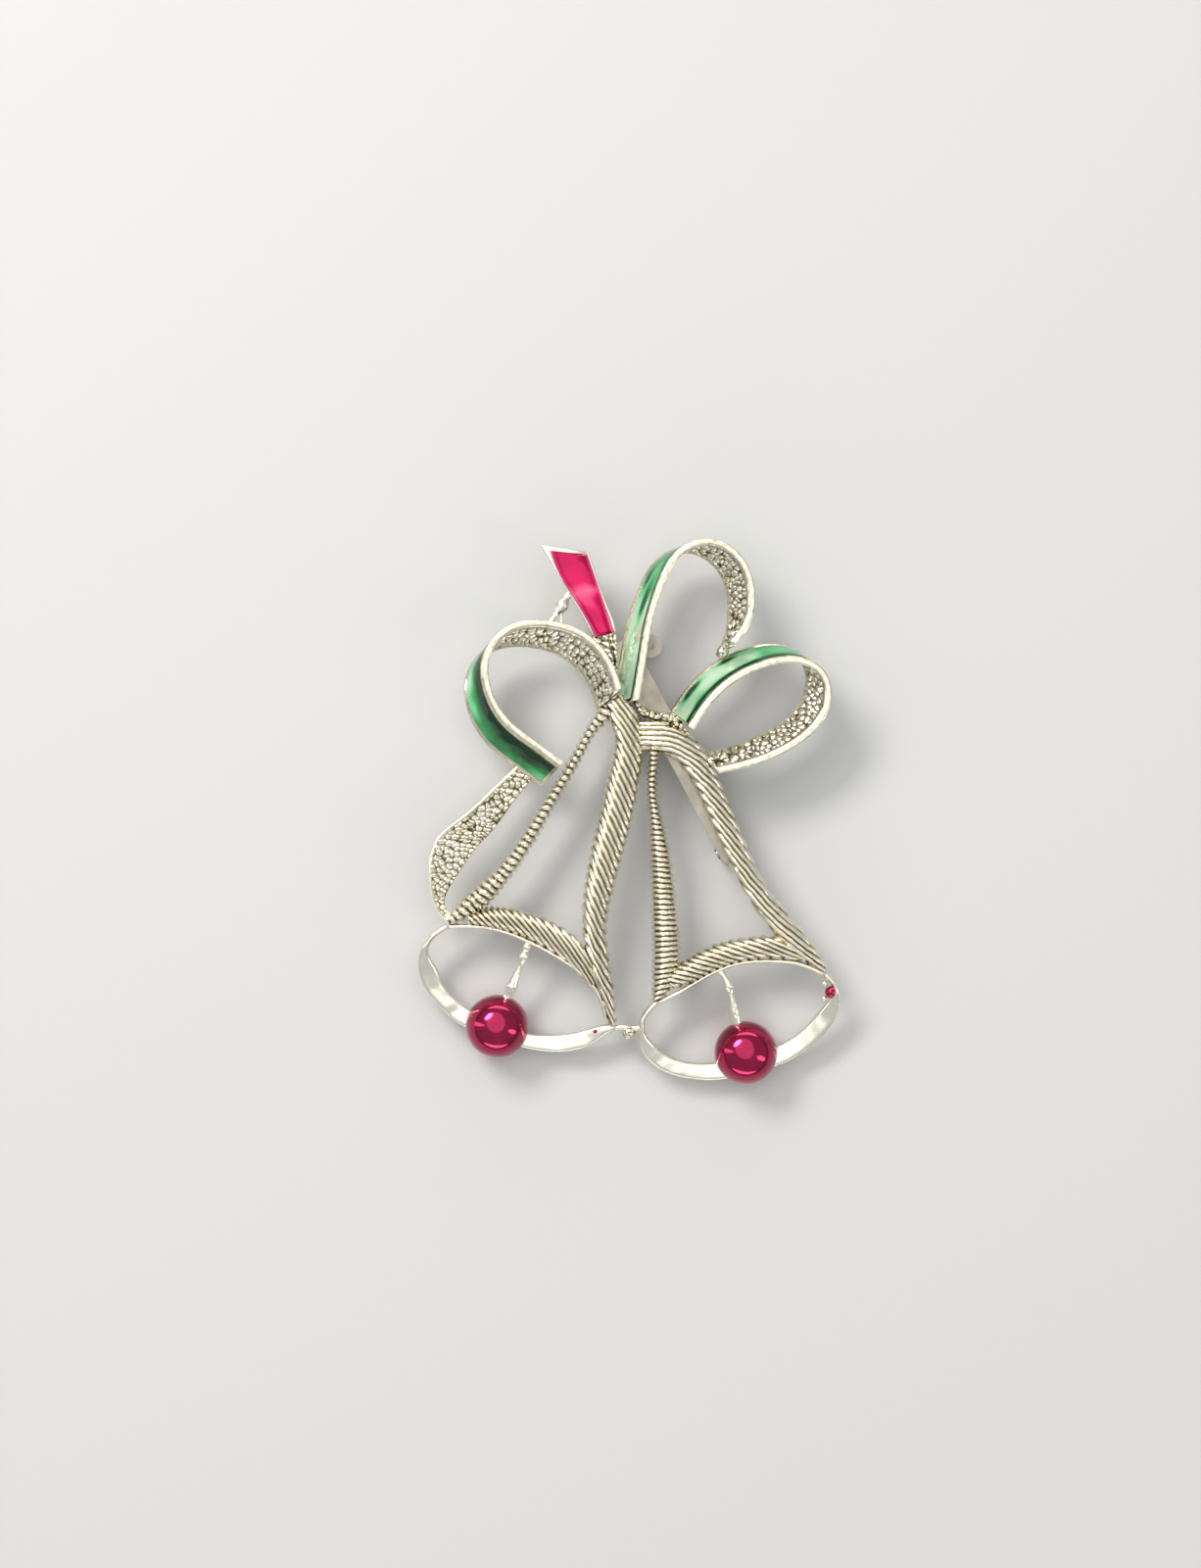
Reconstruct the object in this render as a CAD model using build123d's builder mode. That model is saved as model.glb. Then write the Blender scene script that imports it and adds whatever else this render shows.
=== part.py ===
from build123d import *
import os

# A lapel brooch of two openwork bells under a ribbon bow. Millimetres.
# The brooch lies on its back: X runs across it, Y from the mouths to the bow, Z out of the front.
# The origin is the middle of its outline, on the surface that it lies on.

# Heights above the surface
CAST_BACK = 3.3  # flat backs of the bell bands and of the knot
RIBBON_FRONT = 6.0  # front rims of the three loops
RIBBON_DEPTH = 2.8  # from a loop's front rim to its rear rim

# Bell bands
BAND_RISE = 2.0  # how far a broad band stands out of its flat back
THIN_RISE = 1.6  # the same for the narrow bands
RIM_WIDTH = 0.45  # plain wire round the upper half of each mouth

# Clapper beads
BEAD_RADIUS = 3.0
BEAD_HEIGHT = 2.2  # bead centre above the surface, which leaves a flat back

# Bead and wire that join the two mouths
LINK_BEAD_RADIUS = 0.68
LINK_WIRE_RADIUS = 0.3
LINK_WIRE_LENGTH = 2.4

# Ribbon loops
RIBBON_RIM = 0.64  # thickness at the two plain rims
RIBBON_WALL = 0.28  # thickness between the rims
RIBBON_RIM_DEPTH = 0.35  # how much of the depth each rim takes
TAIL_THICKNESS = 0.6
RED_TAIL_SAG = 0.3  # how far the red tail is hollowed along its middle
LOWER_TAIL_SAG = 0.1
ENAMEL_LIFT = 0.2  # how far the red enamel stands proud of its tail

# Brooch pin, along the bar from the catch to the hinge
BAR_ANGLE = -62.0
CATCH_PLACE = (-0.37, 15.19)
PIN_SPAN = 21.1  # from the catch end to the hinge rivet
BAR_WIDTH = 2.3
BAR_THICKNESS = 0.5
BAR_OVERHANG = 1.1  # beyond the catch end and beyond the rivet
BAR_CORNER = 0.6
EAR_THICKNESS = 0.3
EAR_RADIUS = 0.95
EAR_LENGTH = 3.2
RIVET_RADIUS = 0.3
RIVET_HEAD_RADIUS = 0.52
RIVET_HEAD_HEIGHT = 0.16
STEM_RADIUS = 0.35
STEM_TIP_RADIUS = 0.08
STEM_BEYOND_CATCH = 0.9
STEM_TAPER_START = 4.2  # where the wire starts to sharpen, clear of the catch
STEM_ROOT_START = 17.5  # where the wire starts to thicken, short of the ears
STEM_ROOT_RADIUS = 0.6
EYE_RADIUS = 0.8
EYE_WIDTH = 1.5
EYE_CLEARANCE = 0.04
THROAT = 0.9  # slot that lets the stem into the catch
HOUSING_RADIUS = 1.25
HOUSING_START = 1.2
HOUSING_LENGTH = 2.0
HOUSING_FOOT = 1.3  # width of the post that joins the housing to the bar
HOUSING_CROWN = 0.1  # the throat stops this far short of the bore's middle
ROTOR_RADIUS = 0.8
ROTOR_CLEARANCE = 0.05
ROTOR_COLLAR = 1.0
ROTOR_START = -0.1
ROTOR_END_COLLAR = 0.35  # length of the collar beyond the housing
SLOT_MARGIN = 2.0  # the rotor's slot is cut this far past its far end
LEVER_PLACE = (0.62, 2.47)  # centre of the thumb tab, along the bar and out from its axis
LEVER_RADIUS = 1.1
LEVER_HOLE = 0.35
LEVER_THICKNESS = 0.4
AXIAL_GAP = 0.15

# The two lips of the throat rest on the surface, so this is the height of the pin's axis.
PIN_HEIGHT = (HOUSING_RADIUS**2 - (THROAT / 2) ** 2) ** 0.5
BAR_BACK = CAST_BACK - BAR_THICKNESS


def heading(points, index):
    """Unit vector along a route at one of its points, from the points on either side."""
    before = Vector(*points[max(index - 1, 0)][:2])
    after = Vector(*points[min(index + 1, len(points) - 1)][:2])
    return (after - before).normalized()


def cut_by(piece, neighbours):
    """Cut the piece being built where its neighbours already stand, and drop loose crumbs."""
    for neighbour in neighbours:
        add(neighbour.part, mode=Mode.SUBTRACT)
    for crumb in piece.solids().sort_by(SortBy.VOLUME)[:-1]:
        add(crumb, mode=Mode.SUBTRACT)


def half_round_band(stations, neighbours=()):
    """A strip with a flat back and a domed front, cut where its neighbours already stand.

    Each station is x, y, width, height of the flat back, rise of the dome.
    """
    with BuildPart() as band:
        for index, (x, y, width, back, rise) in enumerate(stations):
            along = heading(stations, index)
            across = Vector(-along.Y, along.X)
            with BuildSketch(Plane(origin=(x, y, back), x_dir=across, z_dir=along)):
                with BuildLine():
                    EllipticalCenterArc((0, 0), width / 2, rise, 0, arc_size=180)
                    Line((-width / 2, 0), (width / 2, 0))
                make_face()
        loft()
        cut_by(band, neighbours)
    return band


def round_rod(stations, neighbours=()):
    """A rod of round section. Each station is x, y, z, radius."""
    with BuildPart() as rod:
        for index, (x, y, z, radius) in enumerate(stations):
            with BuildSketch(Plane(origin=(x, y, z), z_dir=heading(stations, index))):
                Circle(radius)
        loft(ruled=True)
        cut_by(rod, neighbours)
    return rod


def curved_strip(stations, thickness, sag):
    """A strip across pairs of edge points, hollowed along its middle by sag.

    Each station is the left edge point and the right edge point of the front face.
    """
    sections = []
    for left, right in stations:
        left, right = Vector(*left), Vector(*right)
        half = (right - left).length / 2
        across = (right - left).normalized()
        middle = (left + right) / 2
        section = Plane(origin=middle, x_dir=across, z_dir=across.cross(Vector(0, 0, 1)))
        with BuildSketch(section) as outline:
            with BuildLine():
                ThreePointArc((-half, 0), (0, -sag), (half, 0))
                Line((half, 0), (half, -thickness))
                ThreePointArc((half, -thickness), (0, -sag - thickness), (-half, -thickness))
                Line((-half, -thickness), (-half, 0))
            make_face()
        sections.append(outline.sketch)
    loft(sections)


def ribbon_slab(route, thickness, front, depth, lean):
    """One slab of a leaning ribbon: its line drawn at the front rim, swept back by depth.

    Lean is how far the ribbon shifts in X and Y over its full depth.
    """
    set_back = (RIBBON_FRONT - front) / RIBBON_DEPTH
    start = Plane(origin=(lean[0] * set_back, lean[1] * set_back, front))
    with BuildSketch(start) as outline:
        with BuildLine():
            Spline(*route)
        trace(line_width=thickness)
    rear = Vector(lean[0], lean[1], -RIBBON_DEPTH)
    extrude(outline.sketch, amount=depth / RIBBON_DEPTH * rear.length, dir=rear)


def ribbon_loop(route, lean, neighbours):
    """A ribbon on edge, with a thick rim at its front and at its rear."""
    with BuildPart() as loop:
        ribbon_slab(route, RIBBON_WALL, RIBBON_FRONT, RIBBON_DEPTH, lean)
        for front in (RIBBON_FRONT, RIBBON_FRONT - RIBBON_DEPTH + RIBBON_RIM_DEPTH):
            ribbon_slab(route, RIBBON_RIM, front, RIBBON_RIM_DEPTH, lean)
        cut_by(loop, neighbours)
    return loop


def loop_enamel(route, lean, neighbours):
    """Enamel that fills the outer channel of a loop between its rims.

    The wall parts the slab into two layers, and the outer one is the longer and so is kept.
    """
    with BuildPart() as enamel:
        ribbon_slab(
            route,
            RIBBON_RIM,
            RIBBON_FRONT - RIBBON_RIM_DEPTH,
            RIBBON_DEPTH - 2 * RIBBON_RIM_DEPTH,
            lean,
        )
        cut_by(enamel, neighbours)
    return enamel


def clapper_bead(x, y):
    """A ball with a flat back that rests on the surface."""
    with BuildPart() as bead:
        with Locations((x, y, BEAD_HEIGHT)):
            Sphere(BEAD_RADIUS)
        split(bisect_by=Plane.XY, keep=Keep.TOP)
    return bead


def keep(piece, name):
    """Label a finished piece and write it."""
    piece.part.label = name
    export_step(piece.part, f"parts/{name}.step")


os.makedirs("parts", exist_ok=True)

# ---- Left bell -------------------------------------------------------------

left_bead = clapper_bead(-12.5, -20.3)
left_lip_outer = half_round_band(
    [
        (-17.2, -10.75, 0.6, 2.9, 1.3),
        (-18.7, -11.85, 0.6, 2.7, 1.4),
        (-19.4, -13.3, 0.95, 2.5, 1.3),
        (-19.1, -15.0, 1.75, 2.1, 1.1),
        (-18.3, -16.75, 1.75, 1.8, 1.0),
        (-17.1, -18.2, 1.7, 1.5, 1.0),
        (-15.6, -19.45, 1.75, 1.3, 1.0),
        (-13.9, -20.3, 1.7, 1.3, 1.0),
    ],
    [left_bead],
)
left_lip_inner = half_round_band(
    [
        (-11.2, -21.3, 1.5, 1.3, 1.0),
        (-9.6, -21.75, 1.5, 1.3, 1.0),
        (-7.8, -21.95, 1.65, 1.35, 1.0),
        (-5.9, -21.9, 1.7, 1.5, 1.0),
        (-4.2, -21.5, 1.6, 1.7, 1.0),
        (-2.8, -20.85, 1.2, 1.9, 1.0),
        (-1.5, -20.35, 0.7, 2.1, 0.9),
    ],
    [left_bead],
)
left_mouth_rim = half_round_band(
    [
        (-17.0, -10.78, RIM_WIDTH, 3.1, 0.9),
        (-15.2, -10.75, RIM_WIDTH, 3.1, 0.9),
        (-12.6, -11.05, RIM_WIDTH, 3.1, 0.9),
        (-9.6, -12.15, RIM_WIDTH, 3.1, 0.9),
        (-6.6, -13.75, RIM_WIDTH, 3.1, 0.9),
        (-4.2, -15.5, RIM_WIDTH, 3.0, 0.9),
        (-2.75, -17.5, RIM_WIDTH, 2.8, 0.9),
        (-2.2, -19.6, RIM_WIDTH, 2.4, 0.9),
    ]
)
left_inner_limb = half_round_band(
    [
        (-1.3, 10.6, 2.4, CAST_BACK, THIN_RISE),
        (-0.35, 8.7, 3.0, CAST_BACK, BAND_RISE),
        (0.0, 6.4, 3.05, CAST_BACK, BAND_RISE),
        (-0.4, 3.8, 3.2, CAST_BACK, BAND_RISE),
        (-1.1, 0.3, 3.35, CAST_BACK, BAND_RISE),
        (-2.0, -3.4, 3.3, CAST_BACK, BAND_RISE),
        (-2.9, -7.6, 2.9, CAST_BACK, BAND_RISE),
        (-3.25, -11.0, 2.5, CAST_BACK, BAND_RISE),
        (-2.75, -14.3, 2.2, 3.2, 1.9),
        (-2.0, -17.4, 1.6, 2.9, 1.6),
        (-1.5, -20.2, 0.9, 2.2, 1.2),
    ],
    [left_mouth_rim, left_lip_inner],
)
left_outer_limb = half_round_band(
    [
        (-1.9, 9.7, 1.9, CAST_BACK, 1.4),
        (-3.3, 8.2, 1.45, CAST_BACK, THIN_RISE),
        (-4.5, 6.1, 1.35, CAST_BACK, THIN_RISE),
        (-6.3, 2.9, 1.4, CAST_BACK, THIN_RISE),
        (-8.85, -1.35, 1.55, CAST_BACK, THIN_RISE),
        (-10.8, -4.4, 1.75, CAST_BACK, THIN_RISE),
        (-12.8, -6.8, 2.05, CAST_BACK, THIN_RISE),
        (-14.9, -8.7, 2.2, CAST_BACK, THIN_RISE),
        (-17.1, -10.35, 1.0, CAST_BACK, 1.2),
    ],
    [left_inner_limb, left_mouth_rim, left_lip_outer],
)
left_hem = half_round_band(
    [
        (-15.2, -10.1, 1.3, CAST_BACK, 1.2),
        (-12.9, -9.95, 2.3, CAST_BACK, 1.7),
        (-10.8, -10.3, 2.5, CAST_BACK, 1.7),
        (-8.4, -11.15, 2.65, CAST_BACK, 1.7),
        (-6.2, -12.45, 2.7, CAST_BACK, 1.7),
        (-4.4, -14.2, 2.3, 3.2, 1.6),
        (-3.3, -16.2, 1.5, 3.1, 1.4),
    ],
    [left_inner_limb, left_outer_limb, left_mouth_rim],
)
left_clapper = round_rod(
    [
        (-9.62, -12.2, 3.45, 0.3),
        (-9.8, -13.2, 3.5, 0.36),
        (-10.0, -13.8, 3.5, 0.55),
        (-10.2, -14.3, 3.4, 0.36),
        (-10.7, -15.5, 3.1, 0.4),
        (-11.15, -16.5, 2.9, 0.58),
        (-11.7, -18.0, 2.6, 0.5),
    ],
    [left_mouth_rim, left_hem, left_bead],
)

# ---- Right bell ------------------------------------------------------------

right_bead = clapper_bead(11.1, -22.8)
right_lip_outer = half_round_band(
    [
        (18.6, -15.35, 0.62, 2.8, 1.3),
        (19.6, -16.8, 0.6, 2.6, 1.3),
        (19.35, -18.2, 1.25, 2.3, 1.2),
        (18.6, -19.6, 1.75, 2.0, 1.1),
        (17.2, -21.2, 1.75, 1.7, 1.0),
        (15.6, -22.45, 1.75, 1.4, 1.0),
        (14.1, -23.2, 1.8, 1.3, 1.0),
        (12.4, -23.7, 1.7, 1.3, 1.0),
    ],
    [right_bead],
)
right_lip_inner = half_round_band(
    [
        (2.6, -18.0, 0.62, 2.6, 1.3),
        (1.45, -19.4, 0.6, 2.4, 1.3),
        (1.25, -21.0, 0.8, 2.2, 1.2),
        (1.8, -22.3, 1.4, 1.9, 1.1),
        (2.9, -23.45, 1.6, 1.7, 1.0),
        (4.5, -24.25, 1.6, 1.5, 1.0),
        (6.3, -24.6, 1.6, 1.35, 1.0),
        (8.0, -24.65, 1.7, 1.3, 1.0),
        (9.8, -24.5, 1.7, 1.3, 1.0),
    ],
    [right_bead],
)
right_mouth_rim = half_round_band(
    [
        (2.8, -17.95, RIM_WIDTH, 2.8, 0.9),
        (4.5, -17.15, RIM_WIDTH, 3.0, 0.9),
        (7.4, -15.45, RIM_WIDTH, 3.1, 0.9),
        (10.3, -14.3, RIM_WIDTH, 3.1, 0.9),
        (13.4, -14.05, RIM_WIDTH, 3.1, 0.9),
        (16.4, -14.4, RIM_WIDTH, 3.1, 0.9),
        (18.35, -15.25, RIM_WIDTH, 3.0, 0.9),
    ]
)
right_outer_limb = half_round_band(
    [
        (0.9, 7.25, 3.1, CAST_BACK, 1.3),
        (2.6, 7.25, 3.35, CAST_BACK, 1.9),
        (5.2, 6.1, 3.1, CAST_BACK, BAND_RISE),
        (6.6, 4.3, 2.8, CAST_BACK, BAND_RISE),
        (7.9, 1.6, 2.65, CAST_BACK, BAND_RISE),
        (9.4, -1.9, 2.5, CAST_BACK, BAND_RISE),
        (10.7, -4.8, 2.4, CAST_BACK, BAND_RISE),
        (12.2, -7.6, 2.4, CAST_BACK, BAND_RISE),
        (14.1, -10.2, 2.5, CAST_BACK, BAND_RISE),
        (16.4, -12.7, 2.2, CAST_BACK, 1.7),
        (18.5, -15.0, 1.0, 3.1, 1.2),
    ],
    [left_inner_limb, right_mouth_rim, right_lip_outer],
)
right_inner_limb = half_round_band(
    [
        (2.35, 6.4, 1.4, CAST_BACK, 1.2),
        (2.3, 4.6, 1.4, CAST_BACK, THIN_RISE),
        (2.15, 2.6, 1.3, CAST_BACK, THIN_RISE),
        (2.45, -0.2, 1.5, CAST_BACK, THIN_RISE),
        (2.9, -3.6, 2.1, CAST_BACK, THIN_RISE),
        (3.2, -7.2, 2.5, CAST_BACK, THIN_RISE),
        (3.45, -10.8, 2.8, CAST_BACK, THIN_RISE),
        (3.5, -13.8, 2.8, CAST_BACK, THIN_RISE),
        (3.2, -16.0, 2.3, 3.2, 1.4),
        (2.5, -17.9, 0.9, 3.0, 1.1),
    ],
    [right_outer_limb, right_mouth_rim, right_lip_inner],
)
right_hem = half_round_band(
    [
        (3.8, -16.0, 1.9, 3.2, 1.4),
        (5.6, -15.0, 2.5, CAST_BACK, 1.7),
        (7.6, -13.95, 2.6, CAST_BACK, 1.7),
        (9.9, -13.15, 2.5, CAST_BACK, 1.7),
        (12.3, -12.8, 2.4, CAST_BACK, 1.7),
        (14.6, -12.9, 2.2, CAST_BACK, 1.5),
        (16.8, -13.7, 1.2, CAST_BACK, 1.2),
    ],
    [right_inner_limb, right_outer_limb, right_mouth_rim],
)
right_clapper = round_rod(
    [
        (8.55, -14.92, 3.45, 0.3),
        (9.15, -15.9, 3.6, 0.38),
        (9.45, -16.5, 3.5, 0.58),
        (9.65, -17.1, 3.4, 0.4),
        (9.95, -18.5, 3.1, 0.42),
        (10.3, -20.2, 2.7, 0.52),
    ],
    [right_mouth_rim, right_hem, right_bead],
)

with BuildPart() as bell_link:
    with Locations((0, -20.9, 2.6)):
        Sphere(LINK_BEAD_RADIUS)
    with BuildSketch(Plane(origin=(-1.3, -20.45, 2.6), z_dir=(1, 0, 0))):
        Circle(LINK_WIRE_RADIUS)
    extrude(amount=LINK_WIRE_LENGTH)
    cut_by(bell_link, [left_lip_inner, left_inner_limb, left_mouth_rim, right_lip_inner])

# ---- Bow -------------------------------------------------------------------

LEFT_LOOP = [
    (-0.9, 11.6),
    (-1.9, 14.2),
    (-4.2, 16.7),
    (-7.6, 17.8),
    (-11.1, 17.35),
    (-13.2, 15.1),
    (-13.3, 12.1),
    (-11.6, 8.75),
    (-8.8, 6.45),
    (-6.3, 4.6),
]
LEFT_LEAN = (-1.9, -1.95)
TOP_LOOP = [
    (0.75, 10.7),
    (1.35, 14.2),
    (2.0, 18.0),
    (3.1, 21.5),
    (4.9, 24.5),
    (7.9, 25.45),
    (10.45, 23.9),
    (11.6, 20.7),
    (11.1, 17.7),
    (10.0, 16.2),
]
TOP_LEAN = (-2.1, -0.7)
RIGHT_LOOP = [
    (5.9, 7.9),
    (7.3, 10.0),
    (9.7, 12.35),
    (12.7, 13.85),
    (15.6, 14.3),
    (18.1, 13.2),
    (18.8, 10.9),
    (17.8, 8.4),
    (15.0, 6.1),
    (11.6, 4.65),
    (8.4, 3.9),
]
RIGHT_LEAN = (-1.85, 1.45)

right_loop = ribbon_loop(RIGHT_LOOP, RIGHT_LEAN, [right_outer_limb])
top_loop = ribbon_loop(TOP_LOOP, TOP_LEAN, [left_inner_limb, right_loop])
left_loop = ribbon_loop(LEFT_LOOP, LEFT_LEAN, [left_outer_limb, top_loop])
left_enamel = loop_enamel(LEFT_LOOP, LEFT_LEAN, [left_loop, left_outer_limb, top_loop])
top_enamel = loop_enamel(TOP_LOOP, TOP_LEAN, [top_loop, left_inner_limb, right_loop, left_loop])
right_enamel = loop_enamel(RIGHT_LOOP, RIGHT_LEAN, [right_loop, right_outer_limb, top_loop])

with BuildPart() as red_tail:
    curved_strip(
        [
            ((-1.75, 12.4, 4.0), (-1.05, 12.5, 4.0)),
            ((-2.5, 14.8, 4.1), (-1.15, 15.0, 4.1)),
            ((-3.3, 16.6, 4.2), (-1.3, 17.1, 4.2)),
            ((-4.9, 19.4, 4.4), (-2.3, 20.1, 4.4)),
            ((-6.7, 22.4, 4.6), (-3.3, 23.0, 4.6)),
            ((-8.4, 25.25, 4.8), (-3.8, 24.55, 4.8)),
        ],
        TAIL_THICKNESS,
        RED_TAIL_SAG,
    )
    cut_by(red_tail, [left_loop, top_loop, left_enamel, top_enamel])
with BuildPart() as red_enamel:
    curved_strip(
        [
            ((-3.1, 16.55, 4.2 + ENAMEL_LIFT), (-1.5, 16.95, 4.2 + ENAMEL_LIFT)),
            ((-4.75, 19.45, 4.4 + ENAMEL_LIFT), (-2.45, 20.05, 4.4 + ENAMEL_LIFT)),
            ((-6.55, 22.4, 4.6 + ENAMEL_LIFT), (-3.45, 22.95, 4.6 + ENAMEL_LIFT)),
            ((-7.9, 24.95, 4.77 + ENAMEL_LIFT), (-3.9, 24.4, 4.77 + ENAMEL_LIFT)),
        ],
        TAIL_THICKNESS,
        RED_TAIL_SAG,
    )
    cut_by(red_enamel, [red_tail])
tail_strut = round_rod(
    [
        (-7.35, 17.95, 4.6, 0.42),
        (-7.1, 18.4, 4.6, 0.27),
        (-6.85, 18.8, 4.5, 0.3),
        (-6.6, 19.15, 4.4, 0.52),
        (-6.35, 19.55, 4.3, 0.66),
        (-6.15, 19.9, 4.3, 0.55),
        (-5.98, 20.2, 4.25, 0.36),
        (-5.8, 20.5, 4.2, 0.4),
        (-5.5, 20.8, 4.2, 0.3),
    ],
    [left_loop, left_enamel, red_tail, red_enamel],
)

with BuildPart() as lower_tail:
    curved_strip(
        [
            ((-10.4, 4.6, 3.5), (-8.5, 4.0, 2.9)),
            ((-13.0, 2.1, 4.0), (-11.0, 0.9, 2.9)),
            ((-15.6, -0.3, 4.3), (-13.0, -1.8, 2.9)),
            ((-18.4, -2.9, 4.4), (-14.7, -3.7, 3.0)),
        ],
        TAIL_THICKNESS,
        LOWER_TAIL_SAG,
    )
    curved_strip(
        [
            ((-18.4, -2.9, 4.4), (-14.7, -3.7, 3.0)),
            ((-18.9, -5.4, 4.4), (-16.1, -5.7, 3.1)),
            ((-18.7, -7.7, 4.3), (-17.2, -7.5, 3.4)),
            ((-18.1, -9.4, 4.2), (-17.4, -8.9, 3.8)),
            ((-17.1, -10.4, 4.1), (-16.6, -9.8, 3.9)),
        ],
        TAIL_THICKNESS,
        LOWER_TAIL_SAG,
    )
    cut_by(lower_tail, [left_loop, left_enamel, left_outer_limb, left_mouth_rim, left_lip_outer])

# A lumpy cord that fills the crook between the bell crowns and the feet of two loops
bow_knot = half_round_band(
    [
        (0.55, 10.5, 0.8, CAST_BACK, 1.2),
        (1.1, 9.75, 1.0, CAST_BACK, 1.5),
        (2.0, 9.2, 1.1, CAST_BACK, 1.5),
        (3.1, 9.1, 1.1, CAST_BACK, 1.5),
        (4.3, 8.95, 1.0, CAST_BACK, 1.4),
        (5.1, 8.5, 0.7, CAST_BACK, 1.1),
    ],
    [left_inner_limb, right_outer_limb, top_loop, right_loop, top_enamel, right_enamel],
)

# ---- Pin on the back -------------------------------------------------------

# Local X runs along the bar from the catch to the hinge, local Y across it.
bar_frame = Plane(origin=(*CATCH_PLACE, 0)).rotated((0, 0, BAR_ANGLE))
along_bar = bar_frame.x_dir
across_bar = bar_frame.y_dir
hinge_point = bar_frame.from_local_coords((PIN_SPAN, 0, PIN_HEIGHT))
hinge_side = Plane(origin=hinge_point, x_dir=along_bar, z_dir=-across_bar)


def section_at(distance):
    """The plane across the pin's axis at a distance along it from the catch end."""
    origin = bar_frame.from_local_coords((distance, 0, PIN_HEIGHT))
    return Plane(origin=origin, x_dir=across_bar, z_dir=along_bar)


with BuildPart() as pin_bar:
    with BuildSketch(bar_frame.offset(BAR_BACK)):
        with Locations((PIN_SPAN / 2, 0)):
            RectangleRounded(PIN_SPAN + 2 * BAR_OVERHANG, BAR_WIDTH, BAR_CORNER)
    extrude(amount=BAR_THICKNESS)
    ear_drop = BAR_BACK - PIN_HEIGHT
    for side in (-1, 1):
        inner_face = side * (BAR_WIDTH / 2 - EAR_THICKNESS)
        with BuildSketch(hinge_side.offset(inner_face)):
            Circle(EAR_RADIUS)
            with BuildLine():
                Polyline(
                    (-EAR_LENGTH, ear_drop),
                    (EAR_RADIUS, ear_drop),
                    (EAR_RADIUS, 0),
                    (-EAR_RADIUS, 0),
                    close=True,
                )
            make_face()
        extrude(amount=side * EAR_THICKNESS)
    with BuildSketch(hinge_side):
        Circle(RIVET_RADIUS)
    extrude(amount=BAR_WIDTH, both=True, mode=Mode.SUBTRACT)
    cut_by(pin_bar, [top_loop, top_enamel])

with BuildPart() as hinge_rivet:
    with BuildSketch(hinge_side):
        Circle(RIVET_RADIUS)
    extrude(amount=BAR_WIDTH / 2, both=True)
    for side in (-1, 1):
        with BuildSketch(hinge_side.offset(side * BAR_WIDTH / 2)):
            Circle(RIVET_HEAD_RADIUS)
        extrude(amount=side * RIVET_HEAD_HEIGHT)

with BuildPart() as pin_stem:
    with BuildSketch(hinge_side):
        Circle(EYE_RADIUS)
    extrude(amount=EYE_WIDTH / 2, both=True)
    with BuildSketch(section_at(STEM_ROOT_START)):
        Circle(STEM_RADIUS)
    with BuildSketch(section_at(PIN_SPAN - EYE_RADIUS / 2)):
        Circle(STEM_ROOT_RADIUS)
    loft()
    with BuildSketch(section_at(STEM_TAPER_START)):
        Circle(STEM_RADIUS)
    extrude(amount=STEM_ROOT_START - STEM_TAPER_START)
    with BuildSketch(section_at(-STEM_BEYOND_CATCH)):
        Circle(STEM_TIP_RADIUS)
    with BuildSketch(section_at(STEM_TAPER_START)):
        Circle(STEM_RADIUS)
    loft()
    with BuildSketch(hinge_side):
        Circle(RIVET_RADIUS + EYE_CLEARANCE)
    extrude(amount=EYE_WIDTH, both=True, mode=Mode.SUBTRACT)

housing_bore = ROTOR_RADIUS + ROTOR_CLEARANCE
with BuildPart() as catch_housing:
    with BuildSketch(section_at(HOUSING_START)):
        Circle(HOUSING_RADIUS)
        with Locations((0, ear_drop / 2)):
            Rectangle(HOUSING_FOOT, ear_drop)
        Circle(housing_bore, mode=Mode.SUBTRACT)
        with Locations((0, -HOUSING_RADIUS)):
            Rectangle(THROAT, 2 * (HOUSING_RADIUS - HOUSING_CROWN), mode=Mode.SUBTRACT)
    extrude(amount=HOUSING_LENGTH)

rotor_end = HOUSING_START + HOUSING_LENGTH + AXIAL_GAP
with BuildPart() as catch_rotor:
    with BuildSketch(section_at(ROTOR_START)):
        Circle(ROTOR_COLLAR)
    extrude(amount=HOUSING_START - AXIAL_GAP - ROTOR_START)
    with BuildSketch(section_at(HOUSING_START - AXIAL_GAP)):
        Circle(ROTOR_RADIUS)
    extrude(amount=HOUSING_LENGTH + 2 * AXIAL_GAP)
    with BuildSketch(section_at(rotor_end)):
        Circle(ROTOR_COLLAR)
    extrude(amount=ROTOR_END_COLLAR)
    with BuildSketch(bar_frame.offset(PIN_HEIGHT - LEVER_THICKNESS / 2)):
        with Locations(LEVER_PLACE):
            Circle(LEVER_RADIUS)
        with Locations(((HOUSING_START - AXIAL_GAP) / 2, LEVER_PLACE[1] / 2)):
            Rectangle(HOUSING_START - AXIAL_GAP, LEVER_PLACE[1])
        with Locations(LEVER_PLACE):
            Circle(LEVER_HOLE, mode=Mode.SUBTRACT)
    extrude(amount=LEVER_THICKNESS)
    with BuildSketch(section_at(-SLOT_MARGIN)):
        Circle(THROAT / 2)
        with Locations((0, -HOUSING_RADIUS / 2)):
            Rectangle(THROAT, HOUSING_RADIUS)
    extrude(amount=rotor_end + 2 * SLOT_MARGIN, mode=Mode.SUBTRACT)

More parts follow.
